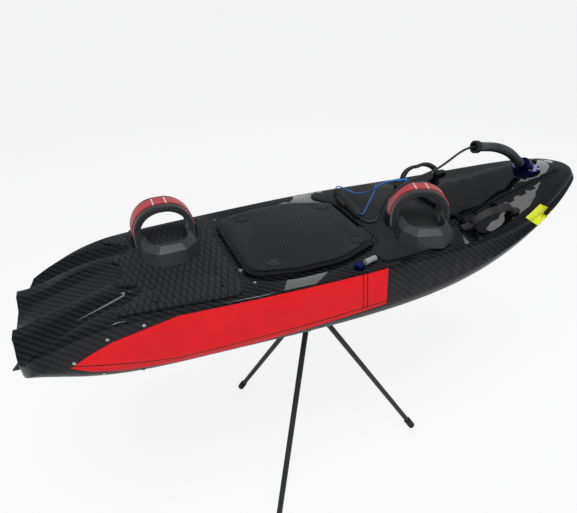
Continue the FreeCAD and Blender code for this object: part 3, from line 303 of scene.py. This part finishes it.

# %% [markdown]
# The deck pads are EVA foam, cut by a router. On the rear pad two families of slanted grooves
# cross and leave long diamonds. On the hatch and in front the grooves run straight across.
# A dot product of the place with a direction counts grooves, and a ping-pong of that count gives
# the distance to the nearest one. The grooves are bumped in and painted darker, which is painted
# shade. One function draws every such pad.

# %% Routed foam
CRUMB_NOISE = 420
CRUMB_BLEND = (0.45, 0.75)
CRUMB_SHARE = 0.5
CRUMB_TONE = "#303235"
CRUMB_HEIGHT = 0.0004


def routed_foam(name, counts, top, groove_shade, wide=0.16, depth=0.0012):
    """Foam with grooves. counts are the grooves per metre along X and along Y, one pair a family.

    wide is the floor of a groove as a share of the step to the next one, depth is in metres.
    The grooves are painted in the darker of the two colours, as painted shade.
    """
    finish, tree, shader, place = finish_of(name, top, 0.8, Sheen_Weight=0.08,
                                            Specular_IOR_Level=0.2)
    nearest = None
    for per_x, per_y in counts:
        count = add(tree, "VectorMath", {"operation": "DOT_PRODUCT", 1: (per_x, per_y, 0)},
                    {0: place})
        apart = add(tree, "Math", {"operation": "PINGPONG", 1: 0.5},
                    {0: count.outputs["Value"]}).outputs[0]
        if nearest:
            apart = add(tree, "Math", {"operation": "MINIMUM"}, {0: nearest, 1: apart}).outputs[0]
        nearest = apart
    level = add(tree, "MapRange", {"From Min": wide / 2, "From Max": wide}, {"Value": nearest})
    crumb = add(tree, "TexNoise", {"Scale": CRUMB_NOISE, "Detail": 3}, {"Vector": place})
    faded = add(tree, "MapRange",
                {"From Min": CRUMB_BLEND[0], "From Max": CRUMB_BLEND[1], "To Max": CRUMB_SHARE},
                {"Value": crumb.outputs["Fac"]})
    worn = add(tree, "Mix", {"data_type": "RGBA", 6: colour(top), 7: colour(CRUMB_TONE)},
               {0: faded.outputs[0]})
    # The grooves take the darker colour: painted shade in them.
    tone = add(tree, "Mix", {"data_type": "RGBA", 6: colour(groove_shade)},
               {0: level.outputs[0], 7: worn.outputs[2]})
    tree.links.new(tone.outputs[2], shader.inputs["Base Color"])
    bump = add(tree, "Bump", {"Strength": 0.9, "Distance": depth}, {"Height": level.outputs[0]})
    fine = add(tree, "Bump", {"Strength": 0.25, "Distance": CRUMB_HEIGHT},
               {"Height": crumb.outputs["Fac"], "Normal": bump.outputs["Normal"]})
    tree.links.new(fine.outputs["Normal"], shader.inputs["Normal"])
    return finish


# The second colour of each foam is the painted shade in its grooves.
diamond_foam = routed_foam("diamond_grooved_EVA_foam", [(60, 18), (60, -18)], "#1c1d20", "#050506")
ribbed_foam = routed_foam("ribbed_EVA_foam", [(105, 0)], "#17181a", "#050506", 0.2)
plain_foam = routed_foam("fine_ribbed_EVA_foam", [(0, 140)], "#151618", "#0a0a0b", 0.2, 0.0006)
print("three foams")

# %% [markdown]
# The rest are plain finishes. A moulded black plastic is slightly uneven, a cast or anodised metal
# keeps the default index of refraction and gets its gloss from its roughness, and a powder coat
# has the small bumps of orange peel.

# %% Plastics, rubber, metals and coatings
# Columns: mean colour, roughness, grain in metres, dark tone, light tone, bump in metres.
PLAIN = {
    # sprayed and polished, a deep black that mirrors the room
    "piano_black_lacquer": ("#0a0a0c", 0.16, 0.9, "#070708", "#101013", 0.00002),
    # moulded, a soft gloss over a faint pebble
    "moulded_black_polyamide": ("#17181a", 0.45, 0.003, "#121315", "#1f2022", 0.0002),
    # matt, with the fine grain of a rubber mould
    "black_nitrile_rubber": ("#151516", 0.7, 0.002, "#101011", "#1c1c1e", 0.0003),
    # knitted cover, hardly any gloss and a pale fuzz where it turns away
    "neoprene_jersey": ("#141517", 0.85, 0.0015, "#0f1011", "#1d1e21", 0.0005),
    # pressed foam, smoother and lighter than the pads
    "heel_EVA_foam": ("#2b2d30", 0.55, 0.004, "#232427", "#303236", 0.0003),
    # the waxy grey of a blown tank
    "satin_grey_polypropylene": ("#8d9095", 0.5, 0.004, "#7f8287", "#989ba0", 0.0002),
    # baked powder, with the small bumps of orange peel
    "textured_black_powder_coat": ("#1b1c1e", 0.5, 0.0018, "#151617", "#222325", 0.0002),
    # thick paint over a rough casting
    "cast_iron_paint": ("#3a3d40", 0.55, 0.004, "#333639", "#44474a", 0.0004),
    # bright rope, its strands break up the light
    "blue_braided_polyester": ("#1668b4", 0.7, 0.0015, "#0f579c", "#2a83cf", 0.0006),
    # the woven sleeve of the cable
    "black_braided_sleeve": ("#1a1b1d", 0.6, 0.0018, "#101112", "#2a2b2e", 0.0007),
    # spring hose, a highlight on every rib
    "ribbed_grey_black_hose": ("#33383b", 0.36, 0.003, "#262a2d", "#40464a", 0.0003),
    # a blank film, flat and saturated
    "yellow_vinyl_film": ("#d8e021", 0.4, 0.01, "#cdd61a", "#e3ea3a", 0.0001),
}
METALS = {
    # polished, slightly uneven from handling
    "polished_stainless_steel": ("#c4c6c9", 0.22, 0.002, "#b5b7ba", "#d2d4d7", 0.00004),
    # turned and left bare, a satin gloss
    "machined_aluminium": ("#b4b7bb", 0.34, 0.0025, "#a6a9ad", "#c2c5c9", 0.00008),
    # dyed dark blue, glossy under its oxide
    "blue_anodised_aluminium": ("#18245f", 0.28, 0.0025, "#131d50", "#1f2e78", 0.00005),
}
TOP_COATS = {
    "piano_black_lacquer": {"Coat_Weight": 0.65, "Coat_Roughness": 0.02, "Specular_IOR_Level": 0.0},
    "neoprene_jersey": {"Sheen_Weight": 0.3},
    "blue_braided_polyester": {"Sheen_Weight": 0.2},
}
METAL_GLOSS = (0.8, 1.3)
finishes = {}
for name, (code, roughness, grain, dark, light, depth) in PLAIN.items():
    finishes[name], tree, shader, place = finish_of(name, code, roughness,
                                                    **TOP_COATS.get(name, {}))
    mottle(tree, shader, place, grain, dark, light, depth)
for name, (code, roughness, grain, dark, light, depth) in METALS.items():
    finishes[name], tree, shader, place = finish_of(name, code, roughness, Metallic=1.0)
    gloss = [roughness * share for share in METAL_GLOSS]
    mottle(tree, shader, place, grain, dark, light, depth, gloss)
print(len(finishes), "plain finishes")

# %% [markdown]
# The foot straps are red polyester webbing with a pale stitched line near each edge. The lines run
# along the strap, so the pattern is first moved and turned into the strap's own direction by a
# Mapping node, and then depends only on the distance across it.

# %% Red webbing
STRAP_EDGE = 0.0172
STRAP_LINE = 0.0016
THREADS = 90
REAR_STRAP = (434, 68, 0)
FRONT_STRAP = (1120, -140, -22)


def webbing(name, x, y, turn):
    """Webbing whose length crosses the board at x, y, turned by an angle in degrees."""
    finish, tree, shader, place = finish_of(name, "#a51320", 0.72, Sheen_Weight=0.35)
    middle = at(x, y, 0)
    own = add(tree, "Mapping", {"vector_type": "TEXTURE", "Location": (middle.x, middle.y, 0),
                                "Rotation": (0, 0, math.radians(turn))}, {"Vector": place})
    axes = add(tree, "SeparateXYZ", links={0: own.outputs[0]})
    across = add(tree, "Math", {"operation": "ABSOLUTE"}, {0: axes.outputs["X"]})
    seam = add(tree, "Math", {"operation": "COMPARE", 1: STRAP_EDGE, 2: STRAP_LINE},
               {0: across.outputs[0]})
    threads = add(tree, "TexWave",
                  {"Scale": THREADS, "Distortion": 0.4, "bands_direction": "DIAGONAL"},
                  {"Vector": own.outputs[0]})
    cloth = add(tree, "Mix", {"data_type": "RGBA", 6: colour("#8d0f1a"), 7: colour("#c01a28")},
                {0: threads.outputs["Fac"]})
    tone = add(tree, "Mix", {"data_type": "RGBA", 7: colour("#d9c3c3")},
               {0: seam.outputs[0], 6: cloth.outputs[2]})
    tree.links.new(tone.outputs[2], shader.inputs["Base Color"])
    bump = add(tree, "Bump", {"Strength": 0.7, "Distance": 0.0006},
               {"Height": threads.outputs["Fac"]})
    tree.links.new(bump.outputs["Normal"], shader.inputs["Normal"])
    return finish


rear_webbing = webbing("red_webbing_rear", *REAR_STRAP)
front_webbing = webbing("red_webbing_front", *FRONT_STRAP)
print("two straps' webbing")

# %% [markdown]
# ## Pieces that stay as they are
# Hard parts whose shape is already right only get their finish: stand, jet, tank, engine,
# latches and fittings.

# %% Give the hard parts their finishes
KEPT = {
    "machined_aluminium": ("pump_stator", "jet_nozzle"),
    "polished_stainless_steel": ("impeller_shaft", "intake_grille"),
    "cast_iron_paint": ("engine_block",),
    "satin_grey_polypropylene": ("fuel_tank", "filler_plug"),
    "blue_anodised_aluminium": ("nose_flange", "filler_neck"),
    "moulded_black_polyamide": ("hatch_latches", "strap_buckles_rear", "strap_buckles_front",
                                "pole_tip", "tail_fins"),
    "black_nitrile_rubber": ("throttle_grip", "stand_strips", "stand_foot_1", "stand_foot_2",
                             "stand_foot_3"),
    "textured_black_powder_coat": ("stand_plate", "stand_column", "stand_hub", "stand_leg_1",
                                   "stand_leg_2", "stand_leg_3"),
    "blue_braided_polyester": ("rope_tie", "rope_knot"),
}
kept = {node: finishes[name] for name, names in KEPT.items() for node in names}
kept["loop_strap_rear"] = rear_webbing
kept["loop_strap_front"] = front_webbing
for node, finish in kept.items():
    nodes[node].data.materials.clear()
    nodes[node].data.materials.append(finish)
for piece, name in ((cable, "black_braided_sleeve"), (rope, "blue_braided_polyester"),
                    (tail_far, "blue_braided_polyester"), (tail_near, "blue_braided_polyester")):
    piece.data.materials.append(finishes[name])
print(len(kept), "nodes dressed")

# %% [markdown]
# ## Working on shapes
# Each shape below starts as a copy of a node's solid, whose mesh is loose triangles and is merged
# first. Four helpers select, copy, apply a modifier and finish a piece. A finished piece is shaded
# smooth up to 30 degrees, unless it is softer than that.

# %% Working helpers


def alone(*pieces):
    """Only these pieces are selected, and the first is active."""
    bpy.ops.object.select_all(action="DESELECT")
    for piece in pieces:
        piece.select_set(True)
    bpy.context.view_layer.objects.active = pieces[0]


def own_copy(node, name):
    """A merged copy of a node's mesh, to be worked on."""
    piece = bpy.data.objects.new(name, nodes[node].data.copy())
    bpy.context.scene.collection.objects.link(piece)
    piece.data.materials.clear()
    alone(piece)
    bpy.ops.mesh.customdata_custom_splitnormals_clear()
    bpy.ops.object.mode_set(mode="EDIT")
    bpy.ops.mesh.select_all(action="SELECT")
    bpy.ops.mesh.remove_doubles(threshold=0.00002)
    bpy.ops.object.mode_set(mode="OBJECT")
    return piece


def apply(piece, kind, **settings):
    """Adds a modifier with its settings and applies it."""
    modifier = piece.modifiers.new(kind.lower(), kind)
    for key, value in settings.items():
        setattr(modifier, key, value)
    alone(piece)
    bpy.ops.object.modifier_apply(modifier=modifier.name)


def complete(piece, body, finish, angle=30):
    """Shading, finish and body of a piece that is ready."""
    alone(piece)
    bpy.ops.object.shade_smooth_by_angle(angle=math.radians(angle))
    piece.data.materials.clear()
    piece.data.materials.append(finish)
    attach(piece, body)
    print(piece.name, len(piece.data.polygons), "faces on", body)


print("shape helpers ready")

# %% [markdown]
# ## The shell
# Smooth shading lets the rails shine in one piece. Edges steeper than 48 degrees get a narrow
# bevel, which is where a real shell catches the light.

# %% The shell
SHELL_EDGE = 0.0014
SHELL_CORNER = 48
shell = own_copy("hull", "board_shell")
apply(shell, "BEVEL", width=SHELL_EDGE, segments=2, limit_method="ANGLE",
      angle_limit=math.radians(SHELL_CORNER))
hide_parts("hull")
complete(shell, "board", carbon)

# %% [markdown]
# Each red panel and each blank plate is a thin sheet that follows the side of the board exactly.
# The surest way to get such a sheet is to cut it out of the hull itself: a copy is bisected by one
# plane for each edge of the outline, what is outside or doesn't face sideways is thrown away, and
# the rest is given a thickness outwards.

# %% Side panels and blank plates
PANEL = [(150, 72), (195, 98), (247, 122), (327, 143), (400, 160), (935, 165), (931, 64), (554, 33),
         (383, 30), (250, 40), (190, 54)]
PLATE = [(1446, 180), (1530, 195), (1592, 166), (1494, 147)]
PANEL_INBOARD, PANEL_THICK = 0.17, 0.0014
PLATE_INBOARD, PLATE_THICK = 0.1, 0.0008
SIDEWAYS = 0.35


def cut_from_side(name, outline, side, inboard, thick):
    """The hull's own side inside an outline of (x, z) corners, clockwise seen from the right."""
    sheet = own_copy("hull", name)
    bpy.ops.object.mode_set(mode="EDIT")
    bpy.ops.mesh.select_all(action="SELECT")
    bpy.ops.mesh.bisect(plane_co=(0, side * inboard, 0), plane_no=(0, -side, 0), clear_outer=True)
    for (x0, z0), (x1, z1) in zip(outline, outline[1:] + outline[:1]):
        bpy.ops.mesh.select_all(action="SELECT")
        outwards = Vector((z0 - z1, 0, x1 - x0)).normalized()
        bpy.ops.mesh.bisect(plane_co=at(x0, 0, z0), plane_no=outwards, clear_outer=True)
    bpy.ops.mesh.select_mode(type="FACE")
    bpy.ops.mesh.select_all(action="DESELECT")
    bpy.ops.object.mode_set(mode="OBJECT")
    for face in sheet.data.polygons:
        face.select = face.normal.y * side < SIDEWAYS
    bpy.ops.object.mode_set(mode="EDIT")
    bpy.ops.mesh.delete(type="FACE")
    bpy.ops.object.mode_set(mode="OBJECT")
    apply(sheet, "SOLIDIFY", thickness=thick, offset=1)
    return sheet


for side, label in ((-1, "right"), (1, "left")):
    sheet = cut_from_side("red_panel_" + label, PANEL, side, PANEL_INBOARD, PANEL_THICK)
    complete(sheet, "board", red)
    sheet = cut_from_side("blank_plate_" + label, PLATE, side, PLATE_INBOARD, PLATE_THICK)
    complete(sheet, "board", finishes["yellow_vinyl_film"])

# %% [markdown]
# ## Foam pads, heel blocks and the hatch
# The pads keep the outline of their solids. A narrow bevel rounds the edge that a router leaves
# on foam, and catches the light all the way round.

# %% Pads
PAD_CORNER = 35
# Columns: node, body, finish, width of the rounded edge in metres, steps in its rounding.
for node, body, finish, edge, steps in (
    ("rear_pad", "board", diamond_foam, 0.0012, 2),
    ("front_pad", "board", plain_foam, 0.0012, 2),
    ("hatch_pad", "hatch", ribbed_foam, 0.001, 2),
    ("heel_block_rear", "board", finishes["heel_EVA_foam"], 0.005, 3),
    ("heel_block_front", "board", finishes["heel_EVA_foam"], 0.005, 3),
):
    pad = own_copy(node, node + "_foam")
    apply(pad, "BEVEL", width=edge, segments=steps, limit_method="ANGLE",
          angle_limit=math.radians(PAD_CORNER))
    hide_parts(node)
    complete(pad, body, finish)

# %% [markdown]
# The hatch's lid is a lacquered panel. Its edges stay crisp, and a bevel of one millimetre holds
# the highlight that runs round it.

# %% Hatch lid
LID_EDGE = 0.001
LID_CORNER = 40
lid = own_copy("hatch_lid", "hatch_lid_gloss")
apply(lid, "BEVEL", width=LID_EDGE, segments=2, limit_method="ANGLE",
      angle_limit=math.radians(LID_CORNER))
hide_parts("hatch_lid")
complete(lid, "hatch", finishes["piano_black_lacquer"])

# %% [markdown]
# ## Foot loops and carry handles
# These are foam under a stretched cover. A voxel remesh gives an even skin over the plain solid,
# and smoothing lets the edges go round, as foam does when cloth is pulled over it.

# %% Soft loops
SOFT_ANGLE = 60
# Columns: node, size of a voxel in metres, rounds of smoothing, finish.
for node, voxel, rounds, finish in (
    ("foot_loop_rear", 0.004, 9, "neoprene_jersey"),
    ("foot_loop_front", 0.004, 9, "neoprene_jersey"),
    ("carry_handle_left", 0.0025, 5, "black_nitrile_rubber"),
    ("carry_handle_right", 0.0025, 5, "black_nitrile_rubber"),
):
    soft = own_copy(node, node + "_soft")
    apply(soft, "REMESH", mode="VOXEL", voxel_size=voxel)
    apply(soft, "SMOOTH", factor=0.5, iterations=rounds)
    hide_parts(node)
    complete(soft, "board", finishes[finish], SOFT_ANGLE)

# %% [markdown]
# ## The steering pole
# The pole is a hose over a spring: a smooth core with ribs close together. One ring is modelled,
# repeated in a straight row by an Array, and bent along the pole by a Curve modifier, which is
# much easier than placing every ring on the bend by hand. The radii are in millimetres, as the
# cords' are, and the pitch is in metres.

# %% Ribbed pole
POLE = [
    (1607, 0, 255.3), (1580.1, 0, 276.1), (1545, 0, 304), (1497, 0, 325), (1452, 0, 336),
    (1408, 0, 341),
]
POLE_RADIUS = 17.6
RIB_RADIUS = 2.2
RIB_PITCH = 0.0075
CORE_RADIUS = POLE_RADIUS - RIB_RADIUS * 1.2

core = spline_along("pole_core", POLE, CORE_RADIUS)
guide = spline_along("pole_guide", POLE, 0)
line = bpy.data.meshes.new_from_object(guide)
pole_length = sum((line.vertices[i + 1].co - line.vertices[i].co).length
                  for i in range(len(line.vertices) - 1))
alone(core)
bpy.ops.object.convert(target="MESH")
complete(core, "board", finishes["ribbed_grey_black_hose"])
bpy.ops.object.select_all(action="DESELECT")
bpy.ops.mesh.primitive_torus_add(major_segments=28, minor_segments=8, minor_radius=RIB_RADIUS / 1000,
                                 major_radius=(POLE_RADIUS - RIB_RADIUS) / 1000,
                                 rotation=(0, math.pi / 2, 0))
ribs = bpy.context.object
ribs.name = "pole_ribs"
bpy.ops.object.transform_apply(location=True, rotation=True, scale=True)
ribs.data.transform(Matrix.Translation((RIB_PITCH / 2, 0, 0)))
apply(ribs, "ARRAY", count=int(pole_length / RIB_PITCH), use_relative_offset=False,
      use_constant_offset=True, constant_offset_displace=(RIB_PITCH, 0, 0))
apply(ribs, "CURVE", object=guide, deform_axis="POS_X")
bpy.data.objects.remove(guide)
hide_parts("steering_pole")
complete(ribs, "board", finishes["ribbed_grey_black_hose"])
print("pole", round(pole_length, 3), "m long")

# %% [markdown]
# ## Screws, bolts and small fittings
# A fitting is a short cylinder with a bevelled rim and a recess sunk into its face. Each kind is
# modelled once, and its copies are planted where a ray meets the surface, each standing on it.

# %% Helpers for the fittings
RIM_SHARE = 0.25
RIM_CORNER = 60
TOP_SHARE = 0.95
INSET_SHARE = 0.7
UP = Vector((0, 0, 1))
DOWN = Vector((0, 0, -1))
ABOVE_DECK = 400
ABOVE_NOSE = 500


def turned_part(name, radius, tall, sunk, recess=0.5, sides=20):
    """Round part on the origin, its rim bevelled and a recess sunk into its top.

    A larger recess leaves a narrower rim.
    """
    bpy.ops.object.select_all(action="DESELECT")
    bpy.ops.mesh.primitive_cylinder_add(vertices=sides, radius=radius, depth=tall,
                                        location=(0, 0, tall / 2))
    part = bpy.context.object
    part.name = name
    bpy.ops.object.transform_apply(location=True, rotation=True, scale=True)
    apply(part, "BEVEL", width=tall * RIM_SHARE, segments=2, limit_method="ANGLE",
          angle_limit=math.radians(RIM_CORNER))
    bpy.ops.object.mode_set(mode="EDIT")
    bpy.ops.mesh.select_mode(type="FACE")
    bpy.ops.mesh.select_all(action="DESELECT")
    bpy.ops.object.mode_set(mode="OBJECT")
    for face in part.data.polygons:
        face.select = face.normal.z > TOP_SHARE and face.center.z > tall * TOP_SHARE
    bpy.ops.object.mode_set(mode="EDIT")
    bpy.ops.mesh.inset(thickness=radius * (1 - recess) * INSET_SHARE)
    bpy.ops.mesh.extrude_region_move(TRANSFORM_OT_translate={"value": (0, 0, -sunk)})
    bpy.ops.object.mode_set(mode="OBJECT")
    return part


def plant(part, name, spots, body, finish):
    """A copy of a part on every spot, each a place and the direction it stands in."""
    copies = []
    for place, up in spots:
        copy = bpy.data.objects.new(name, part.data.copy())
        bpy.context.scene.collection.objects.link(copy)
        upright = up.to_track_quat("Z", "Y").to_matrix().to_4x4()
        copy.data.transform(Matrix.Translation(place) @ upright)
        copies.append(copy)
    alone(*copies)
    bpy.ops.object.join()
    joined = bpy.context.object
    joined.name = name
    complete(joined, body, finish)


def meet(target, start, way):
    """Where a ray meets a piece, and the surface's direction there."""
    hit, place, normal, _ = target.ray_cast(start, way)
    if not hit:
        raise RuntimeError("nothing of %s lies from %s towards %s" % (target.name, start, way))
    return place, normal


print("fitting helpers ready")

# %% [markdown]
# Stainless screws hold the side panels near the stern, five on each side, and two more go through
# the deck.

# %% Screws
PANEL_SCREWS = [(240, 132), (322, 153), (300, 22), (214, 36), (160, 84)]
DECK_SCREWS = [(597, 187), (597, -187)]
bpy.context.view_layer.update()
screw = turned_part("screw", radius=0.0042, tall=0.0026, sunk=0.0012)
spots = [meet(shell, Vector((at(x, 0, z).x, side, at(x, 0, z).z)), Vector((0, -side, 0)))
         for x, z in PANEL_SCREWS for side in (1, -1)]
spots += [meet(shell, at(x, y, ABOVE_DECK), DOWN) for x, y in DECK_SCREWS]
plant(screw, "hull_screws", spots, "board", finishes["polished_stainless_steel"])

# %% [markdown]
# Six bolts stand in a circle on the flange that carries the steering pole.

# %% Flange bolts
BOLT_CIRCLE = 38
BOLT_TURNS = (25, 75, 125, -25, -75, -125)
bolt = turned_part("bolt", radius=0.0038, tall=0.004, sunk=0.002, sides=16)
spots = []
for turn in BOLT_TURNS:
    angle = math.radians(turn)
    spots.append((at(FLANGE[0] + BOLT_CIRCLE * math.cos(angle), BOLT_CIRCLE * math.sin(angle),
                     FLANGE[2]), UP))
plant(bolt, "flange_bolts", spots, "board", finishes["polished_stainless_steel"])

# %% [markdown]
# A vent sits on the nose, a round hub in the middle of each latch of the hatch, and two metal
# eyelets are set in the deck. The hubs belong to the hatch, so that they lift with it.

# %% Vent, latch hubs and eyelets
VENT = (1703, 28)
vent = turned_part("vent", radius=0.008, tall=0.012, sunk=0.003)
plant(vent, "nose_vent", [meet(shell, at(*VENT, ABOVE_NOSE), DOWN)], "board",
      finishes["moulded_black_polyamide"])

LATCHES = [(666, 136), (666, -136), (922, 118), (922, -118)]
KNOB_SINK = 0.0025
knob = turned_part("knob", radius=0.0075, tall=0.0035, sunk=0.0014, recess=0.35)
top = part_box("hatch_latches")[1][2]
spots = []
for x, y in LATCHES:
    middle = at(x, y, 0)
    spots.append((Vector((middle.x, middle.y, top - KNOB_SINK)), UP))
plant(knob, "latch_hubs", spots, "hatch", finishes["moulded_black_polyamide"])

GROMMETS = [(583, -120), (604, -150)]
eyelet = turned_part("eyelet", radius=0.007, tall=0.003, sunk=0.0026, recess=0.45)
plant(eyelet, "deck_eyelets", [meet(shell, at(x, y, ABOVE_DECK), DOWN) for x, y in GROMMETS],
      "board", finishes["machined_aluminium"])

for part in (screw, bolt, vent, knob, eyelet):
    bpy.data.objects.remove(part)

# %% [markdown]
# ## Floor and light
# The floor is a large pale sheet. To the camera it is nearly white, and reflections see it a
# little brighter than it is lit, while its own diffuse part still takes the stand's shadow. The sky
# is white to the camera only. The light is that of a bright room: a wide soft lamp overhead, and
# two tall ones behind the nose that draw streaks on the lacquer, as windows do.

# %% Floor and light
FLOOR_SIZE = 80
FLOOR_GLOW = 0.85
MIRRORED_GLOW = 0.15
ROOM_TINT = (0.93, 0.96, 1.0, 1)
ROOM_LIGHT = 0.32
bpy.ops.object.select_all(action="DESELECT")
bpy.ops.mesh.primitive_plane_add(size=FLOOR_SIZE)
floor = bpy.context.object
floor.name = "floor"
pale, tree, shader, place = finish_of("pale_floor_paint", "#f2f2f2", 0.9)
glow = add(tree, "Emission", {"Color": (1, 1, 1, 1), "Strength": 1.0})
rays = add(tree, "LightPath")
mirrored = add(tree, "Math", {"operation": "MULTIPLY", 1: MIRRORED_GLOW},
               {0: rays.outputs["Is Glossy Ray"]})
seen = add(tree, "Math", {"operation": "MAXIMUM"},
           {0: rays.outputs["Is Camera Ray"], 1: mirrored.outputs[0]})
share = add(tree, "Math", {"operation": "MULTIPLY", 1: FLOOR_GLOW}, {0: seen.outputs[0]})
both = add(tree, "MixShader", links={0: share.outputs[0], 1: shader.outputs[0], 2: glow.outputs[0]})
tree.links.new(both.outputs[0], tree.nodes["Material Output"].inputs["Surface"])
floor.data.materials.append(pale)

world = bpy.data.worlds.new("room")
bpy.context.scene.world = world
world.use_nodes = True
tree = world.node_tree
room = tree.nodes["Background"]
room.inputs["Color"].default_value = ROOM_TINT
room.inputs["Strength"].default_value = ROOM_LIGHT
bright = add(tree, "Background", {"Color": (1, 1, 1, 1), "Strength": 1.0})
seen = add(tree, "LightPath").outputs["Is Camera Ray"]
both = add(tree, "MixShader", links={0: seen, 1: room.outputs[0], 2: bright.outputs[0]})
tree.links.new(both.outputs[0], tree.nodes["World Output"].inputs["Surface"])
# Columns: place, what it is aimed at, width, height, watts.
LAMPS = {
    "overhead": ((-0.6, -1.6, 4.2), (0, 0, 0.9), 2.6, 2.2, 135),
    "window_near": ((3.4, 2.2, 2.6), (0.4, 0, 0.9), 0.4, 2.4, 7),
    "window_far": ((1.6, 3.8, 2.8), (0.2, 0, 0.9), 0.4, 2.4, 7),
}
for name, (place, target, wide, tall, watts) in LAMPS.items():
    light = bpy.data.lights.new(name, "AREA")
    light.shape = "RECTANGLE"
    light.size = wide
    light.size_y = tall
    light.energy = watts
    lamp = bpy.data.objects.new(name, light)
    bpy.context.scene.collection.objects.link(lamp)
    lamp.location = place
    lamp.rotation_euler = (Vector(target) - Vector(place)).to_track_quat("-Z", "Y").to_euler()
bpy.context.scene.view_settings.view_transform = "Standard"
print(len(LAMPS), "lamps")

# %% [markdown]
# ## Sizes
# The view layer is brought up to date.

# %% Sizes
bpy.context.view_layer.update()
